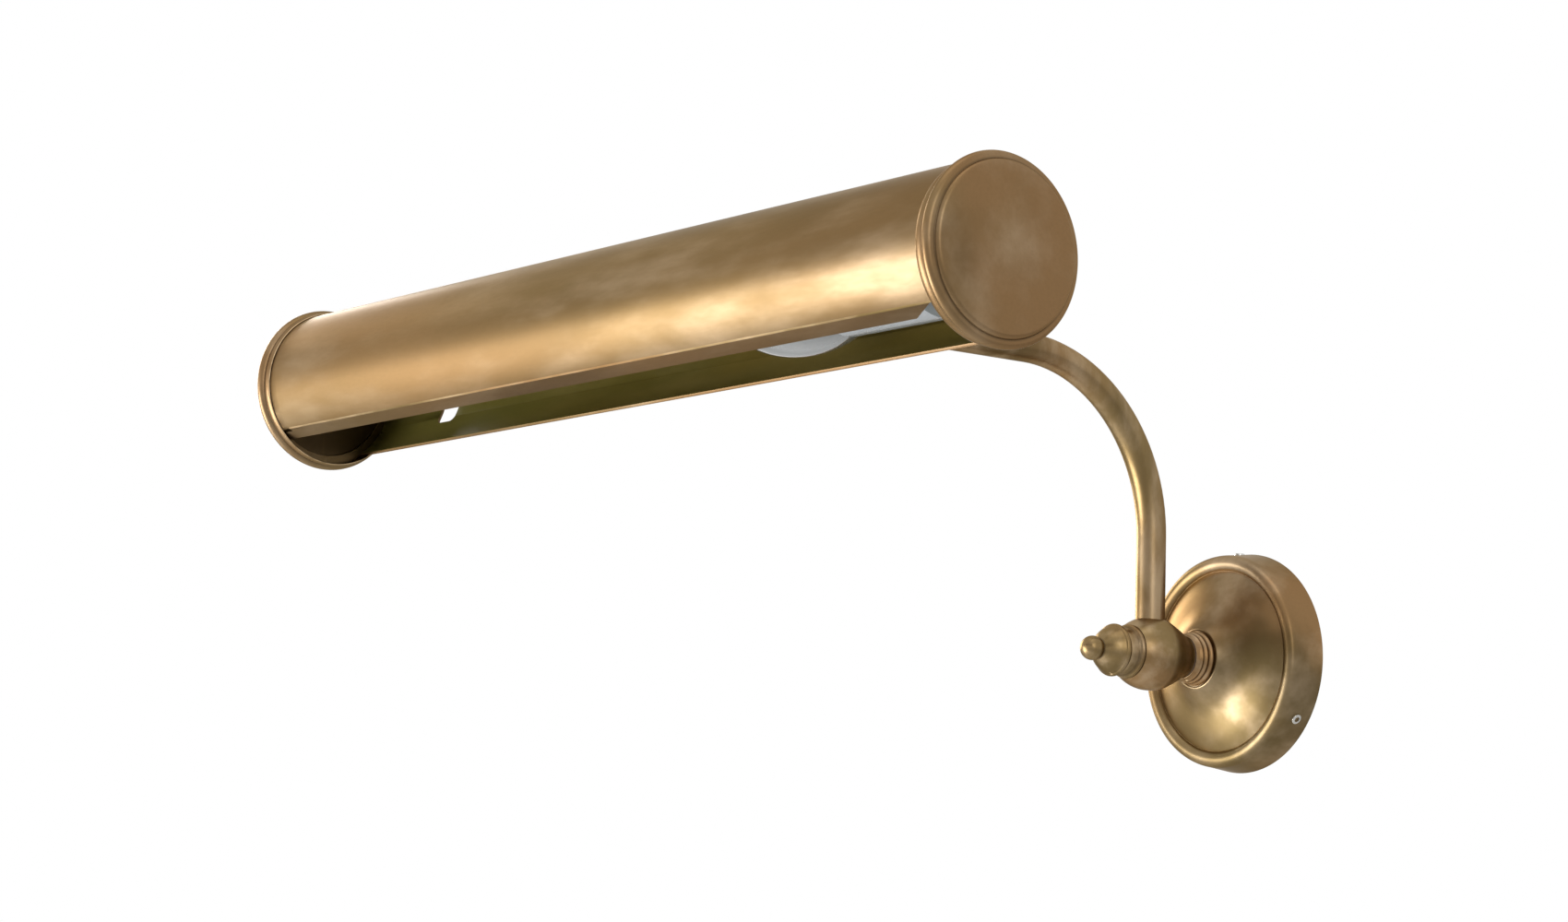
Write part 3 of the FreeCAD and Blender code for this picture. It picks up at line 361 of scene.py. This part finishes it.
def place_group(tree, group, vector, **values):
    node = tree.nodes.new("ShaderNodeGroup")
    node.node_tree = group
    tree.links.new(vector, node.inputs["Vector"])
    for label, value in values.items():
        node.inputs[label.replace("_", " ")].default_value = value
    return node


def add_bump(tree, shader, height, strength, distance):
    bump = add(tree, "ShaderNodeBump", Strength=strength, Distance=distance)
    tree.links.new(height, bump.inputs["Height"])
    tree.links.new(bump.outputs["Normal"], shader.inputs["Normal"])


def antique_brass(name, scale=14.0, streak=60.0, stretch=(1, 1, 1), rough=0.40, wear_and_shade_amount=0.5, shift=(0, 0, 0), tint=1.0,
                  dark=None, middle=None, light=None, metallic=1.0):
    """Satin antique brass; stretch below 1 on an axis draws the pattern out along it."""
    if name in bpy.data.materials:
        return bpy.data.materials[name]
    material, tree, shader, mapping = new_material(name)
    mapping.inputs["Scale"].default_value = stretch
    mapping.inputs["Location"].default_value = shift
    c = colours()
    vector = mapping.outputs["Vector"]
    tones = {"Dark": dark or c.brass_dark, "Middle": middle or c.brass_mid, "Light": light or c.brass_light}
    patina = place_group(tree, patina_group(), vector, Scale=scale, Streak_Scale=streak,
                         **{label: (*[v * tint for v in tone], 1) for label, tone in tones.items()})
    wear_and_shade = place_group(tree, wear_and_shade_group(), vector, Amount=wear_and_shade_amount)
    # Painted shade, near black, in the hollows; worn edges lighter.
    crevice_shaded = mix_colour(tree, wear_and_shade.outputs["Painted Crevice Shade"], patina.outputs["Colour"], (0.050, 0.030, 0.010, 1))
    worn = mix_colour(tree, wear_and_shade.outputs["Mask"], crevice_shaded, (0.62, 0.45, 0.26, 1))
    tree.links.new(worn, shader.inputs["Base Color"])
    tree.links.new(math_node(tree, "ADD", patina.outputs["Roughness"], rough + 0.05), shader.inputs["Roughness"])
    shader.inputs["Metallic"].default_value = metallic
    shader.inputs["Specular Tint"].default_value = (0.62, 0.50, 0.36, 1)
    shader.inputs["Coat Weight"].default_value = 0.30
    shader.inputs["Coat Roughness"].default_value = 0.34
    add_bump(tree, shader, patina.outputs["Height"], 0.10, 0.0003)
    return material


def plain_finish(name, colour, rough, metallic=0.0, coat=0.0, depth=0.15, scale=90.0, bump=0.05):
    """Plastic, plated steel or glass with fine uneven soiling."""
    if name in bpy.data.materials:
        return bpy.data.materials[name]
    material, tree, shader, mapping = new_material(name)
    grime = place_group(tree, grime_group(), mapping.outputs["Vector"], Colour=(*colour, 1), Depth=depth, Scale=scale)
    tree.links.new(grime.outputs["Colour"], shader.inputs["Base Color"])
    tree.links.new(math_node(tree, "ADD", grime.outputs["Roughness"], rough - 0.05), shader.inputs["Roughness"])
    shader.inputs["Metallic"].default_value = metallic
    shader.inputs["Coat Weight"].default_value = coat
    shader.inputs["Coat Roughness"].default_value = 0.05
    add_bump(tree, shader, grime.outputs["Height"], bump, 0.0002)
    return material


def paint_shade_band(material, start, colour):
    """Paints a finish dark beyond a place along the shade, as painted shade where a sleeve meets its holder."""
    tree = material.node_tree
    shader = tree.nodes["Principled BSDF"]
    plain = shader.inputs["Base Color"].links[0].from_socket
    coordinates = tree.nodes.new("ShaderNodeTexCoord")
    split = tree.nodes.new("ShaderNodeSeparateXYZ")
    tree.links.new(coordinates.outputs["Object"], split.inputs[0])
    beyond = ramp(tree, split.outputs["X"], start, start + 0.2 * MM)
    tree.links.new(mix_colour(tree, beyond, plain, (*colour, 1)), shader.inputs["Base Color"])


def sheet_brass():
    return antique_brass("Shade brass", scale=11.0, streak=46.0, stretch=(0.28, 1, 1), rough=0.36, wear_and_shade_amount=0.0,
                         shift=(0.37, 0.1, 0.2))


# The downward-facing lip, painted darker as shade; the sheet's cut edges take this finish too.
def shaded_lip_brass():
    return antique_brass("Lip brass, painted shade", scale=14.0, streak=50.0, stretch=(0.25, 1, 1), rough=0.46, wear_and_shade_amount=0.0, tint=0.66)


def crease_highlight_brass():
    """The fold above the lip and the lip's lower edge, painted bright as a highlight."""
    return antique_brass("Crease highlight brass", scale=30.0, streak=90.0, stretch=(0.4, 1, 1), rough=0.36, wear_and_shade_amount=0.0, tint=1.75)


def inner_brass_painted_shade():
    """The inside of the shade, painted as a darker olive copy of the brass for the shade inside the tube."""
    return antique_brass("Inner brass, painted shade", scale=18.0, streak=60.0, stretch=(0.3, 1, 1), rough=0.55, wear_and_shade_amount=0.0,
                         dark=(0.110, 0.098, 0.016), middle=(0.185, 0.150, 0.032), light=(0.24, 0.19, 0.06),
                         metallic=0.35)


def turned_brass():
    return antique_brass("Turned brass", scale=26.0, streak=120.0, rough=0.32, wear_and_shade_amount=0.85)


# ---------------------------------------------------------------- pieces

def arc_sheet(bm, start, sweep, steps):
    """A wire arc about the shade's axis, made by spinning one corner."""
    first = bm.verts.new(start)
    made = bmesh.ops.spin(bm, geom=[first], cent=(0, SHADE_Y, SHADE_Z), axis=(1, 0, 0), angle=sweep,
                          steps=steps, use_merge=False, use_duplicate=False)
    return [v for v in made["geom_last"] if isinstance(v, bmesh.types.BMVert)][0]


def whole(faces):
    """The faces with their corners and edges, always in the same order."""
    verts = dict.fromkeys(v for f in faces for v in f.verts)
    edges = dict.fromkeys(e for f in faces for e in f.edges)
    return [*verts, *edges, *faces]


def cut_across(bm, faces, spot, normal):
    geometry = whole(faces) if faces else bm.verts[:] + bm.edges[:] + bm.faces[:]
    bmesh.ops.bisect_plane(bm, geom=geometry, dist=1e-7, plane_co=spot, plane_no=normal)


def on_line(vert, line):
    """Whether a vertex is on the line along X through a point."""
    return (vert.co - Vector((vert.co.x, line.y, line.z))).length < SAME_PLACE


def on_lip(face, fold):
    offset = face.calc_center_median() - fold
    return offset.dot(LIP_LEAN) > 0.5 * MM and abs(offset.dot(LIP_FACING)) < 0.1 * MM and offset.y < 8 * MM


def roll_sheet(bm, lip):
    """Rolls the section with its lip, draws it out along X and returns the fold's place."""
    corner = (-SHEET_END, SHADE_Y + SHEET_RADIUS * math.cos(REAR_EDGE), SHADE_Z + SHEET_RADIUS * math.sin(REAR_EDGE))
    fold = arc_sheet(bm, corner, FRONT_EDGE - REAR_EDGE, SHEET_STEPS)
    row = bm.verts.new(fold.co + LIP_LEAN * LIP_ROW)
    edge = bm.verts.new(fold.co + LIP_LEAN * lip)
    bm.edges.new((fold, row))
    bm.edges.new((row, edge))
    place = fold.co.copy()
    made = bmesh.ops.extrude_edge_only(bm, edges=bm.edges[:])
    moved = [v for v in made["geom"] if isinstance(v, bmesh.types.BMVert)]
    bmesh.ops.translate(bm, verts=moved, vec=(2 * SHEET_END, 0, 0))
    return place


def vent_faces(bm, middle):
    centres = ((f, f.calc_center_median()) for f in bm.faces)
    return [f for f, c in centres if c.y > BEHIND and abs(c.x - middle) < VENT_HALF.x
            and abs(c.z - SHADE_Z - VENT_DROP) < VENT_HALF.z]


def cut_vents(bm, corner):
    """Cuts both vents' outlines into the sheet, with round corners, and returns the faces inside them."""
    for level in (-VENT_HALF.z, VENT_HALF.z):
        behind = [f for f in bm.faces if f.calc_center_median().y > SHADE_Y + 10 * MM]
        cut_across(bm, behind, (0, 0, SHADE_Z + VENT_DROP + level), (0, 0, 1))
    inside = []
    for middle in VENT_MIDDLES:
        planes = []
        for across, upward, degrees in itertools.product((-1, 1), (-1, 1), VENT_CORNER_CUTS):
            angle = math.radians(degrees)
            normal = Vector((across * math.cos(angle), 0, upward * math.sin(angle)))
            centre = Vector((middle + across * (VENT_HALF.x - corner), 0,
                             SHADE_Z + VENT_DROP + upward * (VENT_HALF.z - corner)))
            planes.append((centre + normal * corner, normal))
            cut_across(bm, vent_faces(bm, middle), *planes[-1])
        inside += [f for f in vent_faces(bm, middle)
                   if all((f.calc_center_median() - spot).dot(normal) < 0 for spot, normal in planes)]
    return inside


def shape_lip(bm, fold, lip, vents):
    """Opens the vents, ends the lip in a mitre on the right and a notch on the left."""
    gone = list(vents)
    for face in bm.faces:
        if on_lip(face, fold):
            centre = face.calc_center_median()
            shallow = (centre - fold).dot(LIP_LEAN) < NOTCH_DEPTH
            if centre.x > CREASE_END or (centre.x < NOTCH_START and shallow):
                gone.append(face)
    bmesh.ops.delete(bm, geom=gone, context="FACES")
    for vert in bm.verts:
        if abs(vert.co.x - CREASE_END) < SAME_PLACE:
            if on_line(vert, fold + LIP_LEAN * lip):
                vert.co.x = MITRE_TIP
            elif on_line(vert, fold + LIP_LEAN * LIP_ROW):
                vert.co.x = MITRE_ROW


class PICLIGHT_OT_shade(bpy.types.Operator):
    """Model the rolled shade: open below, folded lip in front, two vents behind"""
    bl_idname = "piclight.shade"
    bl_label = "Shade"

    def execute(self, context):
        s = sizes()
        bm = bmesh.new()
        fold = roll_sheet(bm, s.lip)
        sides = [middle + side * VENT_HALF.x for middle in VENT_MIDDLES for side in (-1, 1)]
        for x in (CREASE_END, MITRE_CUT, NOTCH_START, *sides):
            cut_across(bm, None, (x, 0, 0), (1, 0, 0))
        shape_lip(bm, fold, s.lip, cut_vents(bm, s.vent_round))
        crease = [e for e in bm.edges if not e.is_boundary and all(on_line(v, fold) for v in e.verts)]
        rounded = bmesh.ops.bevel(bm, geom=crease, offset=s.crease, offset_type="OFFSET", segments=4, profile=0.5,
                                  affect="EDGES", material=-1, clamp_overlap=True)
        # The rounded fold's faces take the painted highlight.
        rubbed_and_highlight = rounded["faces"]
        bmesh.ops.recalc_face_normals(bm, faces=bm.faces)
        for face in bm.faces:
            face.material_index = CREASE_HIGHLIGHT if face in rubbed_and_highlight else LIP if on_lip(face, fold) else SHEET
        top = max(bm.faces, key=lambda f: f.calc_center_median().z)
        if top.normal.z < 0:
            bmesh.ops.reverse_faces(bm, faces=bm.faces)
        piece = finished(bm, "shade_sheet", "shade", sheet_brass(), ("shade_tube",), sharp=30)
        for material in (shaded_lip_brass(), crease_highlight_brass(), inner_brass_painted_shade()):
            piece.data.materials.append(material)
        wall = piece.modifiers.new("Wall", "SOLIDIFY")
        wall.thickness = s.sheet
        wall.offset = -1.0
        wall.use_even_offset = True
        # The inside takes the darker olive copy, painted shade inside the tube.
        wall.material_offset = INSIDE
        wall.material_offset_rim = 1    # the next slot: the lip's darker painted shade round the sheet's edges, the painted highlight along the lip's lower edge
        soften_edges(piece, 0.2 * MM)
        return {"FINISHED"}


class PICLIGHT_OT_end_caps(bpy.types.Operator):
    """Model the two turned end caps: small ring, round bead and raised disc"""
    bl_idname = "piclight.end_caps"
    bl_label = "End caps"

    def execute(self, context):
        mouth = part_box("right_end_cap")[0].x
        rings = [
            (28.56, 0), (28.91, 0), (28.91, 3.3, 3.5), (28.91, 3.5), (28.91, 7.4, 2.0), (27.6, 7.5), (26.1, 9.1, 1.7),
            (0, 9.4), (0, 7.0), (24.9, 7.0), (24.9, 5.7), (28.56, 5.7), (28.56, 0),
        ]
        material = antique_brass("Cap brass", scale=17.0, streak=30.0, rough=0.38, wear_and_shade_amount=0.7,
                                 shift=(0.2, 0.3, 0.1), tint=0.88)
        for name, node, turn in (("right_cap", "right_end_cap", ALONG_X), ("left_cap", "left_end_cap", ALONG_X_BACK)):
            cap = turned(rings, turn @ Matrix.Translation((0, 0, mouth)), closed=False)
            soften_edges(finished(cap, name, "shade", material, (node,)), sizes().edge_round)
        return {"FINISHED"}


class PICLIGHT_OT_rose(bpy.types.Operator):
    """Model the rose cover and the neck collar in front of it"""
    bl_idname = "piclight.rose"
    bl_label = "Rose"

    def execute(self, context):
        rose = [
            (42.0, 0.3), (40.7, 11.0), (40.0, 14.0, 6.0), (34.5, 13.3, 3.2), (22.7, 18.4, 44.0), (11.7, 25.7, -22.0),
            (10.7, 25.7, 0.6), (5.06, 25.7), (5.06, 23.7), (11.7, 23.7), (22.7, 16.3), (34.5, 11.4), (38.0, 11.4),
            (39.2, 10.6), (40.5, 0.3),
        ]
        material = antique_brass("Rose brass", scale=20.0, streak=42.0, rough=0.34, wear_and_shade_amount=0.0, shift=(0.5, 0.2, 0.4))
        cover = finished(turned(rose, OUT_OF_WALL), "rose", "wall_mount", material, ("rose_cover",))
        soften_edges(cover, sizes().edge_round)
        low, high = (-corner.y / MM for corner in reversed(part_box("neck_collar")))
        collar = [
            (5.06, low), (10.1, low), (10.1, low + 1.6, 1.2), (9.5, low + 2.1),
            (9.3, low + 4.0, 1.25), (9.1, low + 4.3),
            (8.9, low + 5.6, 0.95), (8.3, high, -4.0), (5.06, high),
        ]
        piece = finished(turned(collar, OUT_OF_WALL), "collar", "wall_mount", turned_brass(),
                         ("neck_collar",))
        soften_edges(piece, sizes().edge_round / 3)
        return {"FINISHED"}


class PICLIGHT_OT_knuckle_trim(bpy.types.Operator):
    """Model the stepped ring and the turned finial in front of the knuckle"""
    bl_idname = "piclight.knuckle_trim"
    bl_label = "Ring and finial"

    def execute(self, context):
        low, high = (-corner.y / MM for corner in reversed(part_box("clamp_ring")))
        ring = [
            (5.06, low), (9.9, low), (9.6, low + 1.7, 1.1), (8.9, low + 2.4), (8.5, high - 1.0, -6.0), (8.1, high),
            (5.06, high),
        ]
        piece = finished(turned(ring, OUT_OF_WALL), "step_ring", "arm", turned_brass(),
                         ("clamp_ring",))
        soften_edges(piece, sizes().edge_round / 3)
        foot, tip = (-corner.y / MM for corner in reversed(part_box("finial_knob")))
        ball = 4.6
        neck = tip - 1.6 * ball
        finial = [
            (5.06, foot), (8.4, foot), (8.8, foot + 0.9), (9.4, foot + 3.2, 1.3), (9.1, foot + 3.4),
            (4.3, neck - 0.5, 13.0), (0.8 * ball, neck), (0, tip, ball), (0, foot + 7.0),
            (5.06, foot + 7.0), (5.06, foot),
        ]
        knob = turned(finial, OUT_OF_WALL, closed=False)
        piece = finished(knob, "finial", "finial", turned_brass(), ("finial_knob",))
        soften_edges(piece, sizes().edge_round / 3)
        return {"FINISHED"}


class PICLIGHT_OT_grub_screws(bpy.types.Operator):
    """Model the three socket grub screws in the rim of the rose"""
    bl_idname = "piclight.grub_screws"
    bl_label = "Grub screws"

    def execute(self, context):
        material = plain_finish("Nickel plate", (0.60, 0.59, 0.56), 0.26, metallic=1.0, depth=0.5, scale=400.0)
        screws = bmesh.new()
        for degrees in (86, -34, 206):
            angle = math.radians(degrees)
            bm = bmesh.new()
            disc = bmesh.ops.create_circle(bm, cap_ends=True, radius=2.0 * MM, segments=48)
            face = disc["verts"][0].link_faces[0]
            rim = bmesh.ops.extrude_face_region(bm, geom=[face])
            top = [v for v in rim["geom"] if isinstance(v, bmesh.types.BMVert)]
            bmesh.ops.translate(bm, verts=top, vec=(0, 0, 2.4 * MM))
            cap = [f for f in rim["geom"] if isinstance(f, bmesh.types.BMFace)][0]
            bmesh.ops.bevel(bm, geom=list(cap.edges), offset=0.3 * MM, offset_type="OFFSET", segments=3, profile=0.5,
                            affect="EDGES", material=-1)
            cap = max(bm.faces, key=lambda f: f.calc_center_median().z + f.calc_area())
            bmesh.ops.inset_region(bm, faces=[cap], thickness=0.55 * MM, depth=0)
            cap = max((f for f in bm.faces if len(f.verts) > 8), key=lambda f: f.calc_center_median().z)
            for vert in cap.verts:
                side = math.atan2(vert.co.y, vert.co.x) % (math.pi / 3) - math.pi / 6
                reach = 1.0 * MM / math.cos(side)
                vert.co.xy = vert.co.xy.normalized() * reach
            bmesh.ops.inset_region(bm, faces=[cap], thickness=0.02 * MM, depth=-1.5 * MM)
            place = Matrix.Rotation(-angle, 4, "Y") @ Matrix.Translation((39.4 * MM, -6.3 * MM, 0)) \
                @ Matrix.Rotation(math.radians(90), 4, "Y")
            bmesh.ops.transform(bm, matrix=place, verts=bm.verts)
            part = bpy.data.meshes.new("grub")
            bm.to_mesh(part)
            bm.free()
            screws.from_mesh(part)
            bpy.data.meshes.remove(part)
        bmesh.ops.recalc_face_normals(screws, faces=screws.faces)
        finished(screws, "grub_screws", "wall_mount", material, ("rose_grub_screws",), sharp=30)
        return {"FINISHED"}


class PICLIGHT_OT_lamp(bpy.types.Operator):
    """Model the lamp's globe and give it its finish"""
    bl_idname = "piclight.lamp"
    bl_label = "Lamp"

    def execute(self, context):
        glass = plain_finish("Lamp glass", tuple(colours().glass), 0.12, coat=1.0, depth=0.12, scale=30.0, bump=0.0)
        low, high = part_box("lamp_globe")
        centre, half, radius = low.x + 35 * MM, 35 * MM, (high.z - low.z) / 2
        bm = bmesh.new()
        bmesh.ops.create_uvsphere(bm, u_segments=128, v_segments=96, radius=1.0)
        bmesh.ops.scale(bm, vec=(radius, radius, half), verts=bm.verts)
        bmesh.ops.transform(bm, matrix=ALONG_X @ Matrix.Translation((0, 0, centre)), verts=bm.verts)
        bmesh.ops.bisect_plane(bm, geom=bm.verts[:] + bm.edges[:] + bm.faces[:], dist=1e-7,
                               plane_co=(centre + 27.5 * MM, 0, 0), plane_no=(1, 0, 0), clear_outer=True)
        rim = [e for e in bm.edges if e.is_boundary]
        neck = bmesh.ops.extrude_edge_only(bm, edges=rim)
        neck_verts = [v for v in neck["geom"] if isinstance(v, bmesh.types.BMVert)]
        bmesh.ops.translate(bm, verts=neck_verts, vec=(high.x - centre - 27.5 * MM, 0, 0))
        bmesh.ops.holes_fill(bm, edges=[e for e in bm.edges if e.is_boundary])
        bmesh.ops.recalc_face_normals(bm, faces=bm.faces)
        finished(bm, "globe", "shade", glass, ("lamp_globe",), sharp=30)
        return {"FINISHED"}


class PICLIGHT_OT_frame_finishes(bpy.types.Operator):
    """Give every shown part of the frame its finish"""
    bl_idname = "piclight.frame_finishes"
    bl_label = "Frame finishes"

    def execute(self, context):
        steel = plain_finish("Zinc plate", tuple(colours().steel), 0.34, metallic=1.0, depth=0.35, scale=120.0)
        dull = plain_finish("Dull plate", (0.075, 0.08, 0.075), 0.45, metallic=0.85, depth=0.4, scale=120.0)
        plain = plain_finish("Plain brass", (0.62, 0.45, 0.20), 0.30, metallic=1.0, depth=0.4, scale=150.0)
        sleeve = plain_finish("Holder sleeve", (0.24, 0.26, 0.27), 0.22, coat=0.35, depth=0.2, scale=40.0)
        # Painted shade on the sleeve where it runs into the holder.
        paint_shade_band(sleeve, 169.3 * MM, (0.008, 0.022, 0.020))
        black = plain_finish("Black moulding", (0.012, 0.022, 0.022), 0.38, coat=0.05, depth=0.3, scale=60.0)
        alloy = plain_finish("Bare alloy", (0.66, 0.66, 0.64), 0.28, metallic=1.0, depth=0.25, scale=150.0)
        white = plain_finish("White insulator", (0.78, 0.77, 0.72), 0.5, depth=0.25, scale=120.0, bump=0.1)
        fibre = plain_finish("Fibre washer", (0.12, 0.075, 0.05), 0.7, depth=0.4, scale=300.0, bump=0.2)
        flex = plain_finish("Flex sheath", (0.035, 0.033, 0.030), 0.5, depth=0.3, scale=200.0, bump=0.1)
        tube = antique_brass("Arm brass", scale=16.0, streak=90.0, stretch=(1, 1, 0.35), rough=0.33, wear_and_shade_amount=0.0,
                             shift=(0.1, 0.2, 0.75))
        ball = antique_brass("Knuckle brass", scale=30.0, streak=110.0, rough=0.34, wear_and_shade_amount=0.0, shift=(0.6, 0.3, 0.9))
        finishes = {
            tube: ("arm_tube", "spigot_tube"),
            ball: ("knuckle_body", "swivel_arm_half", "swivel_shade_half", "swivel_pin", "swivel_nut"),
            steel: ("wall_plate", "block_fixing_screws", "spigot_washer", "earth_tag"),
            dull: ("holder_nipple", "holder_nut", "lampholder_bracket"),
            plain: ("terminal_screws", "earth_screw", "spigot_lock_nut", "stud_nut", "lampholder_liner",
                    "lampholder_contact"),
            sleeve: ("lampholder_shell",),
            black: ("lampholder_core", "lampholder_dome"),
            alloy: ("lampholder_ring", "lamp_cap"),
            white: ("terminal_block",),
            fibre: ("knuckle_washer", "swivel_washer"),
            flex: ("rose_flex", "arm_flex", "shade_flex"),
        }
        for material, nodes in finishes.items():
            for node in nodes:
                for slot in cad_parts[node].material_slots:
                    slot.material = material
        return {"FINISHED"}


class PICLIGHT_OT_stage(bpy.types.Operator):
    """Build the pale floor, the soft studio light, the white surroundings and the camera"""
    bl_idname = "piclight.stage"
    bl_label = "Stage"

    def execute(self, context):
        scene = context.scene
        bm = bmesh.new()
        bmesh.ops.create_grid(bm, x_segments=1, y_segments=1, size=6.0)
        bmesh.ops.translate(bm, verts=bm.verts, vec=(0, 0, -1.05))
        mesh = bpy.data.meshes.new("floor")
        bm.to_mesh(mesh)
        bm.free()
        floor = bpy.data.objects.new("floor", mesh)
        scene.collection.objects.link(floor)
        material, tree, shader, mapping = new_material("Pale floor")
        noise = add(tree, "ShaderNodeTexNoise", Scale=3.0, Detail=3.0)
        tree.links.new(mapping.outputs["Vector"], noise.inputs["Vector"])
        pale = mix_colour(tree, noise.outputs["Fac"], (0.86, 0.86, 0.86, 1), (0.90, 0.90, 0.895, 1))
        tree.links.new(pale, shader.inputs["Base Color"])
        shader.inputs["Roughness"].default_value = 0.8
        mesh.materials.append(material)

        for name, spot, aim, width, height, power in (
            ("key", (-1.08, -1.70, -0.50), (0.12, -0.25, 0.05), 0.75, 1.25, 36.0),
            ("side", (1.9, -1.0, 0.75), (0.0, -0.2, 0.05), 0.8, 1.2, 7.0),
            ("top", (0.3, -0.6, 2.1), (0.0, -0.2, 0.0), 1.6, 1.2, 5.0),
            ("front_low", (-0.45, -1.6, -0.62), (0.0, -0.1, 0.0), 0.35, 0.35, 5.0),
            ("left_rim", (-1.75, 0.05, 0.45), (0.0, -0.1, 0.0), 0.8, 0.8, 22.0),
        ):
            lamp = bpy.data.lights.new(name, "AREA")
            lamp.shape = "RECTANGLE"
            lamp.size, lamp.size_y, lamp.energy = width, height, power
            holder = bpy.data.objects.new(name, lamp)
            holder.location = spot
            holder.rotation_euler = (Vector(aim) - Vector(spot)).to_track_quat("-Z", "Y").to_euler()
            scene.collection.objects.link(holder)

        world = bpy.data.worlds.new("Studio")
        scene.world = world
        world.use_nodes = True
        tree = world.node_tree
        background = tree.nodes["Background"]
        path = tree.nodes.new("ShaderNodeLightPath")
        seen = math_node(tree, "MAXIMUM", path.outputs["Is Camera Ray"], path.outputs["Is Glossy Ray"])
        seen = math_node(tree, "MAXIMUM", seen, path.outputs["Is Transmission Ray"])
        tree.links.new(mix_colour(tree, seen, (0.62, 0.62, 0.62, 1), (1, 1, 1, 1)), background.inputs["Color"])

        camera = bpy.data.cameras.new("camera")
        camera.lens, camera.sensor_width = 89.33, 36.0
        camera.clip_end = 50.0
        holder = bpy.data.objects.new("camera", camera)
        scene.collection.objects.link(holder)
        azimuth, elevation, roll = math.radians(52.66), math.radians(-8.01), math.radians(1.585)
        level = math.cos(elevation)
        back = Vector((math.sin(azimuth) * level, -math.cos(azimuth) * level, math.sin(elevation)))
        side = (-back).cross(Vector((0, 0, 1))).normalized()
        up = side.cross(-back)
        right = side * math.cos(roll) + up * math.sin(roll)
        top = up * math.cos(roll) - side * math.sin(roll)
        pose = Matrix((right, top, back)).transposed().to_4x4()
        pose.translation = Vector((1.0737, -1.0439, -0.1357))
        holder.matrix_world = pose
        scene.camera = holder
        scene.view_settings.view_transform = "Standard"
        return {"FINISHED"}


class PICLIGHT_PT_panel(bpy.types.Panel):
    """Lists the pieces of the picture light"""
    bl_idname = "PICLIGHT_PT_panel"
    bl_label = "Picture light"
    bl_space_type = "VIEW_3D"
    bl_region_type = "UI"
    bl_category = "Picture Light"

    def draw(self, context):
        for group in (context.scene.picture_light_sizes, context.scene.picture_light_colours):
            for key in group.__annotations__:
                self.layout.prop(group, key)
        for step in STEPS:
            self.layout.operator(step.bl_idname)


STEPS = (
    PICLIGHT_OT_stage, PICLIGHT_OT_frame_finishes, PICLIGHT_OT_shade, PICLIGHT_OT_end_caps, PICLIGHT_OT_rose,
    PICLIGHT_OT_knuckle_trim, PICLIGHT_OT_grub_screws, PICLIGHT_OT_lamp,
)
CLASSES = (PictureLightSizes, PictureLightColours, *STEPS, PICLIGHT_PT_panel)


def register():
    for each in CLASSES:
        bpy.utils.register_class(each)
    bpy.types.Scene.picture_light_sizes = bpy.props.PointerProperty(type=PictureLightSizes)
    bpy.types.Scene.picture_light_colours = bpy.props.PointerProperty(type=PictureLightColours)


def unregister():
    del bpy.types.Scene.picture_light_colours
    del bpy.types.Scene.picture_light_sizes
    for each in reversed(CLASSES):
        bpy.utils.unregister_class(each)


def main():
    register()
    for step in STEPS:
        group, name = step.bl_idname.split(".")
        getattr(getattr(bpy.ops, group), name)()


if __name__ == "__main__":
    main()
